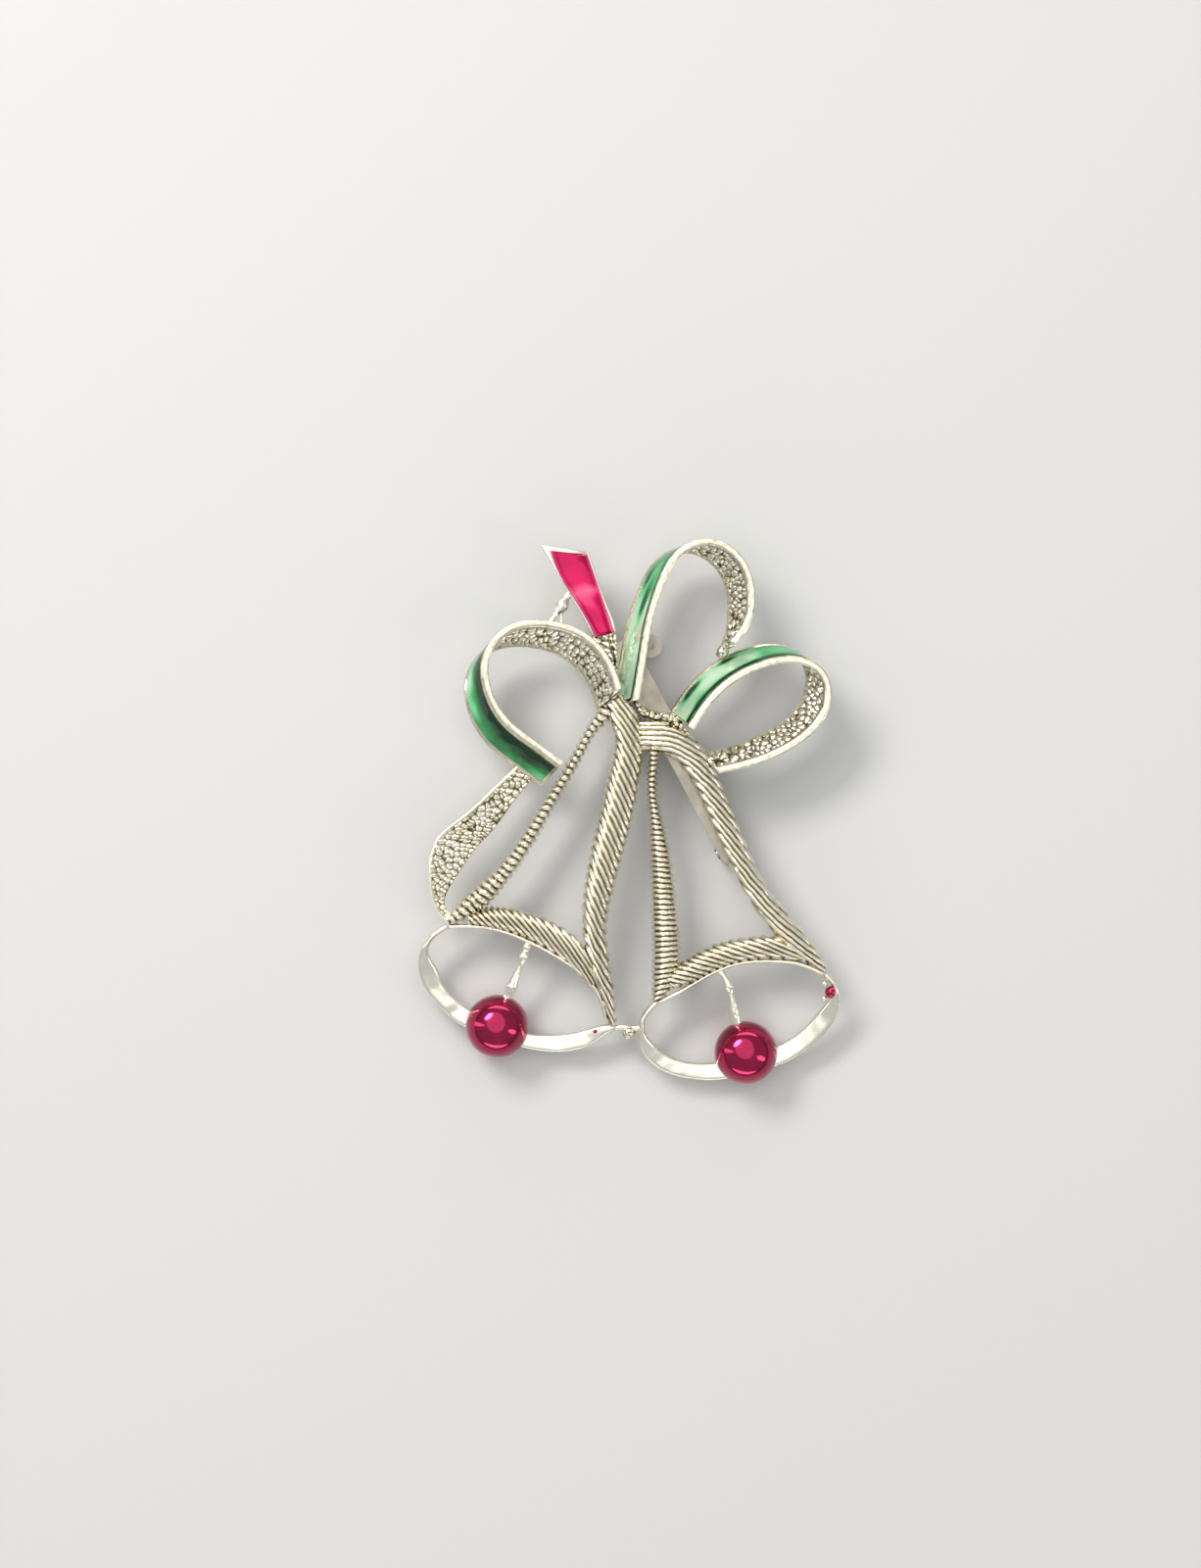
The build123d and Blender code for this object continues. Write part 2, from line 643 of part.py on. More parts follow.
for piece, name in (
    (left_mouth_rim, "left_bell_mouth_rim"),
    (left_inner_limb, "left_bell_inner_limb"),
    (left_outer_limb, "left_bell_outer_limb"),
    (left_hem, "left_bell_hem"),
    (left_bead, "left_clapper_bead"),
    (left_lip_outer, "left_bell_lip_outer"),
    (left_lip_inner, "left_bell_lip_inner"),
    (left_clapper, "left_clapper_stem"),
    (right_mouth_rim, "right_bell_mouth_rim"),
    (right_inner_limb, "right_bell_inner_limb"),
    (right_outer_limb, "right_bell_outer_limb"),
    (right_hem, "right_bell_hem"),
    (right_bead, "right_clapper_bead"),
    (right_lip_outer, "right_bell_lip_outer"),
    (right_lip_inner, "right_bell_lip_inner"),
    (right_clapper, "right_clapper_stem"),
    (bell_link, "bell_link_bead"),
    (left_loop, "bow_loop_left"),
    (top_loop, "bow_loop_top"),
    (right_loop, "bow_loop_right"),
    (left_enamel, "green_enamel_left"),
    (top_enamel, "green_enamel_top"),
    (right_enamel, "green_enamel_right"),
    (bow_knot, "bow_knot"),
    (red_tail, "red_tail_strip"),
    (red_enamel, "red_tail_enamel"),
    (tail_strut, "tail_strut"),
    (lower_tail, "lower_tail"),
    (pin_bar, "pin_bar"),
    (hinge_rivet, "hinge_rivet"),
    (pin_stem, "pin_stem"),
    (catch_housing, "catch_housing"),
    (catch_rotor, "catch_rotor"),
):
    keep(piece, name)
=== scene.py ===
import math

import bpy
import numpy as np
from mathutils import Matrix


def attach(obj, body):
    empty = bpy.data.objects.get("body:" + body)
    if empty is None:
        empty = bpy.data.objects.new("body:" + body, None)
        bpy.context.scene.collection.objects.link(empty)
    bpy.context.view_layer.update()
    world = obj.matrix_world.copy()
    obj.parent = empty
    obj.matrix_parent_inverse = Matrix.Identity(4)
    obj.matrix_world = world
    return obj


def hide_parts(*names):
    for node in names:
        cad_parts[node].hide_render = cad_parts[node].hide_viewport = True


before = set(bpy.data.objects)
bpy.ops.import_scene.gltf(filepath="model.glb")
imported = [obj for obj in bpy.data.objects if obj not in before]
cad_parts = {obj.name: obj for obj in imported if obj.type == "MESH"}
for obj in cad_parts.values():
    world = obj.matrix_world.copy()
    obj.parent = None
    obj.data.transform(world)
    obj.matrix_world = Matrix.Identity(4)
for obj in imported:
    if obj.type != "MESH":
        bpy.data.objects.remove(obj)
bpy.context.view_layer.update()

# Lengths below are in millimetres in the frame's axes, and MM turns them into metres.
MM = 0.001
SEED = 7

# Spacing of the rows along each kind of piece, and how many points go round or across it.
STEP = 0.05  # threaded and grained pieces
BAND_STEP = 0.12
ROD_STEP = 0.1
ENAMEL_STEP = 0.1
POOL_STEP = 0.08
DOME_POINTS = 76
LUMPY_POINTS = 40
BAND_POINTS = 24
ROD_POINTS = 24
LUMP_POINTS = 48
LUMP_RINGS = 30
BEAD_POINTS = 128
BEAD_RINGS = 70
RIM_POINTS = 11
GRAIN_POINTS = 44
ENAMEL_POINTS = 40
STRIP_POINTS = 54
POOL_POINTS = 44
POLE_GAP = 0.05  # angle left out at the top and bottom of a lump, in radians
BEAD_GAP = 0.02  # the same at the top of a bead

# Smooth noise: how many waves it has, and how their rates spread about one wave per length.
WAVES = 6
LEAST_RATE = 0.6
RATE_SPREAD = 1.2

# Threads of the bells.
THREAD_DEPTH = 0.28
THREAD_HEIGHT = 0.05  # how much the threads differ in height
THREAD_LEVELS = 97  # how many threads come before their heights repeat
THREAD_WANDER = 0.16  # how far a thread wanders, as a share of the pitch
WANDER_LENGTH = 2.1
THREAD_FULLNESS = 0.8  # below 1, the crests are broader than the gaps
DEPTH_CHANGE = 0.25  # how much the depth of the gaps changes over a band
DEPTH_LENGTH = 1.1
FULL_HALF_WIDTH = 0.5  # the gaps get shallower where a band is narrower than this
LEAST_DEPTH = 0.2  # share of the depth that is left where it is narrowest

# Cast nuggets.
NUGGET_SIZE = 0.6
NUGGET_DEPTH = 0.24
NUGGET_CELLS = 64  # how many come before they repeat
CRACK_WIDTH = 0.32  # as a share of the size
NUGGET_REACH = 1.15  # distance from its middle, in sizes, at which a nugget has no height left
FAR = 9.0

# Plain bands and rods.
RIM_WIDTH = 0.45
SIDE_ROUND = 0.8  # powers that make the sides and the face of a band fuller than an ellipse
FACE_ROUND = 0.55
DISH = 0.25
DISH_FROM = 0.7  # width from which a band is dished
BAND_DENT = 0.05
DENT_LENGTH = 2.4
ROD_DENT = 0.06  # as a share of the radius
ROD_DENT_LENGTH = 1.7

# Beads.
BEAD_RADIUS = 3.0
BEAD_HEIGHT = 2.2

# Ribbons of the bow. Shares are of a ribbon's depth, from its front.
RIBBON_FRONT = 6.0
RIBBON_DEPTH = 2.8
RIBBON_RIM = 0.32  # half the thickness of a ribbon's rim
RIBBON_WALL = 0.14  # half the thickness of its wall
RIM_SHARE = 0.35 / 2.8  # share that each rim takes
RIM_CROWN = 0.045  # share that a rim's rounded edge takes
RIM_SLOPE = 0.015  # half the share that the step from a rim to the wall takes
GRAIN_INSET = 1.25  # how many rims' shares the grain stays away from the edges
GRAIN_STRETCH = 1.1
GRAIN_SINK = 0.02
RIM_TONE = 0.34  # relief of the plain rims, which sets their colour
RIM_TONE_CHANGE = 0.5
RIM_TONE_LENGTH = 1.1
RIM_DENT = 0.03
RIM_DENT_LENGTH = 2.3
RIM_DENT_FROM = RIBBON_WALL + 0.05  # only what stands out further than this is dented
END_LENGTH = 4.0  # stretch at the end of a loop over which its lean may change

# Green enamel in the ribbons' outer channels.
CHANNEL_GAP = 0.012  # share left free beside each rim
WALL_GAP = 0.005
ENAMEL_FACE = 0.24
ENAMEL_CROWN = 0.06
CROWN_ROUND = 0.6
ENAMEL_DENT = 0.02
ENAMEL_DENT_LENGTH = 2.2
POOL_START, POOL_FADE = 0.6, 0.8  # where a pool starts to fade and over what width, in pools
TONE_CHANGE = 0.5
TONE_LENGTH = 1.6
REAR_TONE = 0.35  # thin enamel along the rear rim
REAR_START, REAR_FADE = 0.9, 0.08
STREAK_STRENGTH = 1.4

# Flat strips and the enamel on them.
BARE_FADE = 0.04
STRIP_EDGE = 0.15  # width of the rounded edge
STRIP_EDGE_DROP = 0.1
POOL_BRINK = 0.22  # width over which the enamel rises to its full height
POOL_DENT = 0.02
POOL_DENT_LENGTH = 2.5
POOL_TONE_CHANGE = 0.12
POOL_TONE_LENGTH = 3.0
# The darkening of the far right corner below is painted shade.
POOL_SHADE = 0.35  # how much darker the far right corner is
SHADE_START, SHADE_FADE = 0.6, 0.3
# The pale edge below is partly thinner enamel and partly a painted highlight.
POOL_THIN_HIGHLIT_EDGE = 0.3

CAP_TONE = 0.6  # relief of a tube's two ends


# ---- Shapes ----------------------------------------------------------------


def spline(points, step):
    """Rows along a natural cubic through the points, about one step apart in X and Y."""
    p = np.array(points, float)
    h = np.maximum(np.linalg.norm(np.diff(p[:, :2], axis=0), axis=1), 1e-6)
    at = np.r_[0, np.cumsum(h)]
    n = len(p)
    a = np.zeros((n, n))
    b = np.zeros_like(p)
    a[0, 0] = a[-1, -1] = 1
    for i in range(1, n - 1):
        a[i, i - 1 : i + 2] = h[i - 1], 2 * (h[i - 1] + h[i]), h[i]
        b[i] = 6 * ((p[i + 1] - p[i]) / h[i] - (p[i] - p[i - 1]) / h[i - 1])
    bend = np.linalg.solve(a, b)
    t = np.linspace(0, at[-1], max(4, int(at[-1] / step)))
    k = np.clip(np.searchsorted(at, t, side="right") - 1, 0, n - 2)
    hk = h[k][:, None]
    v = (t - at[k])[:, None] / hk
    u = 1 - v
    return u * p[k] + v * p[k + 1] + ((u**3 - u) * bend[k] + (v**3 - v) * bend[k + 1]) * hk**2 / 6


def directions(rows):
    """Unit vectors along a route in X and Y, and to its left."""
    along = np.gradient(rows[:, :2], axis=0)
    along /= np.linalg.norm(along, axis=1, keepdims=True)
    return along, np.stack([-along[:, 1], along[:, 0]], axis=1)


def lengths(rows):
    """Distance of each row from the first, in X and Y."""
    return np.r_[0, np.cumsum(np.linalg.norm(np.diff(rows[:, :2], axis=0), axis=1))]


def wobble(x, y, length, seed):
    """Smooth noise from -1 to 1 over two coordinates, from a few crossed waves."""
    rng = np.random.default_rng(seed)
    total = np.zeros(np.broadcast(x, y).shape)
    for _ in range(WAVES):
        angle, phase, spread = rng.random(3) * (2 * math.pi, 2 * math.pi, RATE_SPREAD)
        wave = (x * math.cos(angle) + y * math.sin(angle)) * (LEAST_RATE + spread) / length
        total = total + np.sin(2 * math.pi * wave + phase)
    return total / WAVES


def nuggets(x, y, size, seed):
    """Height from 0 in the cracks to 1 on top of rounded grains, over two coordinates. Kept as relief, it
    paints shade into the cracks and a highlight onto the grains.
    """
    jitter = np.random.default_rng(seed).random((NUGGET_CELLS, NUGGET_CELLS, 2))
    cell_x, cell_y = np.floor(x / size).astype(int), np.floor(y / size).astype(int)
    nearest = np.full(np.broadcast(x, y).shape, FAR)
    second = nearest.copy()
    for step_x in (-1, 0, 1):
        for step_y in (-1, 0, 1):
            cx, cy = cell_x + step_x, cell_y + step_y
            offset = jitter[cx % NUGGET_CELLS, cy % NUGGET_CELLS]
            gap = np.hypot(x / size - cx - offset[..., 0], y / size - cy - offset[..., 1])
            second = np.minimum(second, np.maximum(nearest, gap))
            nearest = np.minimum(nearest, gap)
    crack = np.clip((second - nearest) / CRACK_WIDTH, 0, 1)
    return crack * (NUGGET_REACH - np.clip(nearest, 0, 1)) / NUGGET_REACH


def make_mesh(name, verts, faces, material, relief):
    """A closed object from points in millimetres, smooth shaded, its faces turned outward.

    Its relief, one number for each point, is kept for the material.
    """
    mesh = bpy.data.meshes.new(name)
    mesh.from_pydata((verts * MM).tolist(), [], faces)
    corners = np.array([(face[0], face[i], face[i + 1]) for face in faces for i in range(1, len(face) - 1)])
    a, b, c = (verts[corners[:, i]] for i in range(3))
    if np.einsum("ij,ij->", a, np.cross(b, c)) < 0:
        mesh.flip_normals()
    mesh.shade_smooth()
    mesh.attributes.new("relief", "FLOAT", "POINT").data.foreach_set("value", relief)
    mesh.materials.append(material)
    piece = bpy.data.objects.new(name, mesh)
    bpy.context.collection.objects.link(piece)
    return piece


def tube(name, grid, material, relief=None):
    """A closed tube from rows of points that each go once round its section."""
    rows, cols = grid.shape[:2]
    index = np.arange(rows * cols).reshape(rows, cols)
    after = np.roll(index, -1, axis=1)
    quads = np.stack([index[:-1], after[:-1], after[1:], index[1:]], axis=-1).reshape(-1, 4)
    ends = grid[[0, -1]].mean(axis=1)
    caps = []
    for centre, row, near in ((rows * cols, index[0], 1), (rows * cols + 1, index[-1], -1)):
        ring = np.stack([row, np.roll(row, near)], axis=-1)
        caps += [[centre, int(a), int(b)] for a, b in ring]
    if relief is None:
        relief = np.ones((rows, cols))
    relief = np.r_[relief.ravel(), CAP_TONE, CAP_TONE]
    return make_mesh(name, np.r_[grid.reshape(-1, 3), ends], quads.tolist() + caps, material, relief)


def place_section(rows, across, lift):
    """Points in space from each row's own section: across to the left, lift above its back."""
    _, left = directions(rows)
    x = rows[:, 0:1] + left[:, 0:1] * across
    y = rows[:, 1:2] + left[:, 1:2] * across
    return np.stack([x, y, rows[:, 3:4] + lift], axis=-1)


def rope_band(name, stations, pitch, material, ragged):
    """A domed band of twisted threads. Ragged is how much deeper the gaps are at its two edges.

    Each station is x, y, width, height of the back, rise, and the threads' angle in degrees.
    """
    rows = spline(stations, STEP)
    along, _ = directions(rows)
    heading = np.unwrap(np.arctan2(along[:, 1], along[:, 0]))
    slant = heading - np.radians(rows[:, 5])
    distance = lengths(rows)
    wound = np.r_[0, np.cumsum(np.sin(slant[1:]) * np.diff(distance))]
    turn = np.linspace(0, math.pi, DOME_POINTS)
    half = rows[:, 2:3] / 2
    across = np.cos(turn) * half
    lift = np.sin(turn) * rows[:, 4:5]
    shape_seed = SEED + len(name)
    phase = (wound[:, None] + across * np.cos(slant)[:, None]) / pitch
    wander = wobble(rows[:, 0:1] + across, rows[:, 1:2] + 0 * across, WANDER_LENGTH, shape_seed)
    phase = phase + THREAD_WANDER * wander
    ridge = np.abs(np.sin(math.pi * phase)) ** THREAD_FULLNESS
    levels = np.random.default_rng(shape_seed).random(THREAD_LEVELS)
    height = levels[np.floor(phase).astype(int) % THREAD_LEVELS]
    strength = 1 + DEPTH_CHANGE * wobble(distance[:, None], across, DEPTH_LENGTH, shape_seed + 1)
    cut = THREAD_DEPTH * strength * (1 - ridge) + THREAD_HEIGHT * height
    cut = cut * (1 + ragged * np.cos(turn) ** 4) * np.clip(half / FULL_HALF_WIDTH, LEAST_DEPTH, 1)
    across = across - np.cos(turn) * cut
    lift = lift - np.sin(turn) * cut
    # The threads' ridge is kept as relief, which paints shade into the gaps and a highlight onto the crests.
    return tube(name, place_section(rows, across, lift), material, ridge)


def lumpy_band(name, stations, size, depth, material):
    """A domed band of granular lumps. Each station is x, y, width, height of the back, rise."""
    rows = spline(stations, STEP)
    turn = np.linspace(0, math.pi, LUMPY_POINTS)
    across = np.cos(turn) * rows[:, 2:3] / 2
    lift = np.sin(turn) * rows[:, 4:5]
    lumps = nuggets(lengths(rows)[:, None], turn * rows[:, 2:3] / 2, size, SEED + len(name))
    across = across - np.cos(turn) * depth * (1 - lumps)
    lift = lift - np.sin(turn) * depth * (1 - lumps)
    return tube(name, place_section(rows, across, lift), material, lumps)


def lump(name, centre, radius, material, size, depth):
    """A small cast blob with a grainy skin. Size and depth are those of its grains."""
    turn = np.linspace(0, 2 * math.pi, LUMP_POINTS, endpoint=False)
    rise = np.linspace(-math.pi / 2 + POLE_GAP, math.pi / 2 - POLE_GAP, LUMP_RINGS)[:, None]
    grain = nuggets(radius * turn * np.cos(rise), radius * rise, size, SEED + len(name))
    reach = radius - depth * (1 - grain) * np.cos(rise)
    grid = np.stack([np.cos(rise) * np.cos(turn), np.cos(rise) * np.sin(turn), np.sin(rise) + 0 * turn], -1)
    return tube(name, np.array(centre) + reach[..., None] * grid, material, grain)


def smooth_band(name, stations, material):
    """A plain band, a little uneven as cast metal is, with rounded edges and its broad parts dished.

    Each station is x, y, width, height of the back, rise.
    """
    rows = spline(stations, BAND_STEP)
    turn = np.linspace(0, math.pi, BAND_POINTS)
    side = np.cos(turn)
    face = np.sin(turn)
    across = np.sign(side) * np.abs(side) ** SIDE_ROUND * rows[:, 2:3] / 2
    lift = face**FACE_ROUND * rows[:, 4:5] - DISH * np.clip(rows[:, 2:3] - DISH_FROM, 0, 1) * face**2
    uneven = wobble(lengths(rows)[:, None], across, DENT_LENGTH, SEED + len(name))
    lift = lift - BAND_DENT * np.clip(rows[:, 2:3], 0, 1) * (1 + uneven) * face
    relief = np.clip(0.75 + 0.25 * uneven, 0, 1)
    return tube(name, place_section(rows, across, lift), material, relief)


def rod(name, stations, material):
    """A cast rod of round section. Each station is x, y, z, radius."""
    rows = spline(stations, ROD_STEP)
    along = np.gradient(rows[:, :3], axis=0)
    along /= np.linalg.norm(along, axis=1, keepdims=True)
    side = np.cross(along, (0, 0, 1))
    side /= np.linalg.norm(side, axis=1, keepdims=True)
    up = np.cross(side, along)
    turn = np.linspace(0, 2 * math.pi, ROD_POINTS, endpoint=False)
    dents = wobble(rows[:, 0:1] * 2 + np.cos(turn), rows[:, 1:2] * 2 + np.sin(turn), ROD_DENT_LENGTH, SEED)
    radius = (rows[:, 3:4] * (1 + ROD_DENT * dents))[..., None]
    ring = side[:, None] * np.cos(turn)[:, None] + up[:, None] * np.sin(turn)[:, None]
    return tube(name, rows[:, None, :3] + ring * radius, material)


def bead(name, centre, material):
    """A lacquered ball with a flat back, turned about a vertical axis."""
    flat = math.asin(BEAD_HEIGHT / BEAD_RADIUS)
    rise = np.linspace(-flat, math.pi / 2 - BEAD_GAP, BEAD_RINGS)[:, None]
    turn = np.linspace(0, 2 * math.pi, BEAD_POINTS, endpoint=False)
    radius = BEAD_RADIUS * np.cos(rise)
    height = BEAD_HEIGHT + BEAD_RADIUS * np.sin(rise) + 0 * turn
    grid = np.stack([centre[0] + radius * np.cos(turn), centre[1] + radius * np.sin(turn), height], axis=-1)
    return tube(name, grid, material)


def outer_side(route):
    """1 if the outside of the loop is on the left of its route, and -1 if it is on the right."""
    p = np.array(route)
    area = np.sum(p[:-1, 0] * p[1:, 1] - p[1:, 0] * p[:-1, 1])
    area += p[-1, 0] * p[0, 1] - p[0, 0] * p[-1, 1]
    return -1 if area > 0 else 1


def leaning_grid(rows, side, offset, depth, lean, end_lean):
    """Points of a leaning ribbon: offset outward from its line, and back by a share of its depth.

    The lean goes over to the end lean in the last few millimetres of the route.
    """
    _, left = directions(rows)
    outward = left * side
    distance = lengths(rows)[:, None]
    share = np.clip((distance - distance[-1] + END_LENGTH) / END_LENGTH, 0, 1)
    lean_x = lean[0] + (end_lean[0] - lean[0]) * share
    lean_y = lean[1] + (end_lean[1] - lean[1]) * share
    x = rows[:, 0:1] + outward[:, 0:1] * offset + lean_x * depth
    y = rows[:, 1:2] + outward[:, 1:2] * offset + lean_y * depth
    return np.stack([x, y, RIBBON_FRONT - RIBBON_DEPTH * depth + 0 * offset], axis=-1)


def ribbon(name, route, lean, end_lean, material, seed):
    """A leaning ribbon on edge: thick plain rims, a nugget-grained inner face, a bare outer channel."""
    rows = spline(route, STEP)
    rim, wall, share, slope = RIBBON_RIM, RIBBON_WALL, RIM_SHARE, RIM_SLOPE
    edge = [(rim * math.cos(a), RIM_CROWN * (1 - math.sin(a))) for a in np.linspace(0, math.pi, RIM_POINTS)]
    middle = RIM_POINTS // 2
    section = edge[middle::-1]
    section += [(rim, share - slope), (wall, share + slope)]
    section += [(wall, 1 - share - slope), (rim, 1 - share + slope)]
    section += [(offset, 1 - depth) for offset, depth in edge]
    section += [(-rim, 1 - share)]
    before = len(section)
    inset = share * GRAIN_INSET
    section += [(-wall, depth) for depth in np.linspace(1 - inset, inset, GRAIN_POINTS)]
    after = len(section)
    section += [(-rim, share)]
    section += edge[:middle:-1]
    offset, depth = np.array(section).T
    distance = lengths(rows)[:, None]
    offset = np.repeat(offset[None], len(rows), axis=0)
    tone = wobble(distance, 3 * depth + 2 * offset, RIM_TONE_LENGTH, seed + 2)
    relief = RIM_TONE * (1 + RIM_TONE_CHANGE * tone)
    height = nuggets(distance, depth[before:after] * RIBBON_DEPTH * GRAIN_STRETCH, NUGGET_SIZE, seed)
    offset[:, before:after] -= NUGGET_DEPTH * height - GRAIN_SINK
    relief[:, before:after] = height
    uneven = RIM_DENT * wobble(distance, depth + distance, RIM_DENT_LENGTH, seed + 1)
    offset = offset + uneven * np.sign(offset) * (np.abs(offset) > RIM_DENT_FROM)
    return tube(name, leaning_grid(rows, outer_side(route), offset, depth, lean, end_lean), material, relief)


def enamel_layer(name, route, lean, end_lean, bare_end, pool, thin_and_sheen, streaks, material, seed):
    """Glossy enamel in a loop's outer channel, slightly crowned and uneven.

    Bare end is the length left without enamel at the far end.
    Pool is the share of the width, from the front rim, where the enamel lies deep and dark.
    The next argument is pairs of the share of the loop's length and how pale the rest is there, partly from
    thin enamel and partly as a painted reflection.
    Each streak is a dark mark: its distance along, share across, half length and half share across.
    """
    rows = spline(route, ENAMEL_STEP)
    depth = np.linspace(RIM_SHARE + CHANNEL_GAP, 1 - RIM_SHARE - CHANNEL_GAP, ENAMEL_POINTS)
    across = (depth - depth[0]) / (depth[-1] - depth[0])
    distance = lengths(rows)[:, None]
    crown = ENAMEL_FACE + ENAMEL_CROWN * np.sin(math.pi * across) ** CROWN_ROUND
    face = crown + ENAMEL_DENT * wobble(distance, across * 2.5, ENAMEL_DENT_LENGTH, seed)
    back = np.full((len(rows), 2), RIBBON_WALL + WALL_GAP)
    offset = np.concatenate([face, back], axis=1)
    # Paleness is partly thin enamel and partly a painted reflection.
    paleness = np.interp(distance / distance[-1], *np.array(thin_and_sheen).T)
    paleness = paleness * np.clip((across - pool * POOL_START) / (pool * POOL_FADE), 0, 1)
    cloud = wobble(distance * 0.4, across * 2, TONE_LENGTH, seed + 1)
    paleness = np.clip(paleness * (1 + TONE_CHANGE * cloud), 0, 1)
    paleness = np.maximum(paleness, REAR_TONE * np.clip((across - REAR_START) / REAR_FADE, 0, 1))
    for where, side, reach, spread in streaks:
        mark = np.exp(-(((distance - where) / reach) ** 2) - ((across - side) / spread) ** 2)
        paleness = paleness * (1 - np.clip(STREAK_STRENGTH * mark, 0, 1))
    relief = np.concatenate([paleness, np.zeros((len(rows), 2))], axis=1)
    depth = np.r_[depth, depth[-1], depth[0]]
    grid = leaning_grid(rows, outer_side(route), offset, depth, lean, end_lean)
    last = np.searchsorted(distance[:, 0], distance[-1, 0] - bare_end)
    return tube(name, grid[2:last], material, relief[2:last])


def strip(name, stations, thickness, sag, material, seed, grain, bare=1.0, rim=0.0):
    """A flat strip between two edge lines. Each station is the left point and the right point.

    Grain is the depth of its nuggets, which stop at the share of the length called bare.
    Rim is the width of a plain raised edge on its left.
    """
    rows = spline([(*left, *right) for left, right in stations], STEP)
    left, right = rows[:, None, :3], rows[:, None, 3:6]
    width = np.linalg.norm(right - left, axis=2)
    share = np.linspace(0, 1, STRIP_POINTS)[None] * np.ones_like(width)
    flat = left + (right - left) * share[..., None]
    distance = lengths(rows)[:, None]
    height = nuggets(distance, share * width, NUGGET_SIZE, seed)
    rough = np.clip((bare - distance / distance[-1]) / BARE_FADE, 0, 1) * (share * width >= rim)
    relief = 1 - rough * (1 - height)
    edge = np.clip(np.minimum(share, 1 - share) * width / STRIP_EDGE, 0, 1)
    top = flat.copy()
    top[..., 2] -= sag * (1 - (2 * share - 1) ** 2) + grain * (1 - relief) + STRIP_EDGE_DROP * (1 - edge) ** 2
    under = flat[:, [-1, STRIP_POINTS // 2, 0]]
    under[..., 2] -= thickness
    grid = np.concatenate([top, under], axis=1)
    return tube(name, grid, material, np.concatenate([relief, np.ones((len(rows), 3))], axis=1))


def enamel_pool(name, stations, thickness, sag, lift, tones, material, seed):
    """Enamel on a flat strip, paler along its edges, partly as thinner enamel and partly as a painted
    highlight, with tones given along its length and painted shade towards its right side.
    """
    rows = spline([(*left, *right) for left, right in stations], POOL_STEP)
    left, right = rows[:, None, :3], rows[:, None, 3:6]
    share = np.linspace(0, 1, POOL_POINTS)[None] * np.ones((len(rows), 1))
    flat = left + (right - left) * share[..., None]
    width = np.linalg.norm(right - left, axis=2)
    distance = lengths(rows)[:, None]
    along = distance / distance[-1]
    edge = np.minimum(share, 1 - share) * width
    ends = np.minimum(distance, distance[-1] - distance)
    brink = np.clip(np.minimum(edge, ends) / POOL_BRINK, 0, 1)
    top = flat.copy()
    top[..., 2] += lift * brink**0.5 - sag * (1 - (2 * share - 1) ** 2)
    top[..., 2] += POOL_DENT * wobble(distance, share * 3, POOL_DENT_LENGTH, seed)
    tone = np.interp(along, *np.array(tones).T)
    tone = tone + POOL_TONE_CHANGE * wobble(distance, share * 3, POOL_TONE_LENGTH, seed)
    # Painted shade: darker towards the right side, more so further along.
    tone = tone - POOL_SHADE * np.clip((share - SHADE_START) / SHADE_FADE, 0, 1) * along
    # Painted highlight with thinner enamel: paler towards the edges.
    tone = np.clip(np.maximum(tone, 1 - edge / POOL_THIN_HIGHLIT_EDGE), 0, 1)
    under = flat[:, [-1, POOL_POINTS // 2, 0]]
    under[..., 2] -= thickness
    grid = np.concatenate([top, under], axis=1)
    return tube(name, grid, material, np.concatenate([tone, np.zeros((len(rows), 3))], axis=1))


# ---- Materials -------------------------------------------------------------

# Colours of the plate from its crests down to its hollows, and of the plainer pin fittings. On the threaded
# and nugget plate the paler crest colours are partly painted highlight, and the olive and near-black hollow
# colours are painted shade.
BRIGHT = (0.89, 0.86, 0.74)
PALE = (0.83, 0.79, 0.67)
WARM = (0.69, 0.635, 0.48)
OLIVE_SHADE = (0.25, 0.205, 0.11)
DEEP_SHADE = (0.03, 0.024, 0.016)
TARNISH = (0.78, 0.73, 0.58)
SATIN = (0.40, 0.36, 0.29)
SATIN_WORN = (0.30, 0.265, 0.21)
STEEL = (0.78, 0.74, 0.64)

FINE_BUMP = 0.03 * MM
ENAMEL_BUMP = 0.1 * MM
LACQUER_BUMP = 0.06 * MM


def new_material(name, **sockets):
    """A Principled material with values that are the same all over set on its own sockets."""
    material = bpy.data.materials.new(name)
    material.use_nodes = True
    shader = material.node_tree.nodes["Principled BSDF"]
    for socket, value in sockets.items():
        shader.inputs[socket.replace("_", " ")].default_value = value
    return material, material.node_tree, shader


def noise_node(tree, scale, detail=4.0):
    """Object-space noise. Scale is in features per metre."""
    place = tree.nodes.new("ShaderNodeTexCoord")
    noise = tree.nodes.new("ShaderNodeTexNoise")
    noise.inputs["Scale"].default_value = scale
    noise.inputs["Detail"].default_value = detail
    noise.inputs["Roughness"].default_value = 0.55
    tree.links.new(place.outputs["Object"], noise.inputs["Vector"])
    return noise.outputs["Fac"]


def relief_node(tree):
    """The relief that make_mesh stores: 0 in a hollow or a thick pool, 1 on a crest or a thin edge. Through
    the gold ramps it paints shade into hollows and a highlight onto crests.
    """
    relief = tree.nodes.new("ShaderNodeAttribute")
    relief.attribute_name = "relief"
    return relief.outputs["Fac"]


def ramp_node(tree, source, stops):
    """A colour ramp. Each stop is a position and a colour."""
    ramp = tree.nodes.new("ShaderNodeValToRGB")
    elements = ramp.color_ramp.elements
    while len(elements) < len(stops):
        elements.new(0.5)
    for element, (position, colour) in zip(elements, stops):
        element.position = position
        element.color = (*colour, 1)
    tree.links.new(source, ramp.inputs["Fac"])
    return ramp.outputs["Color"]


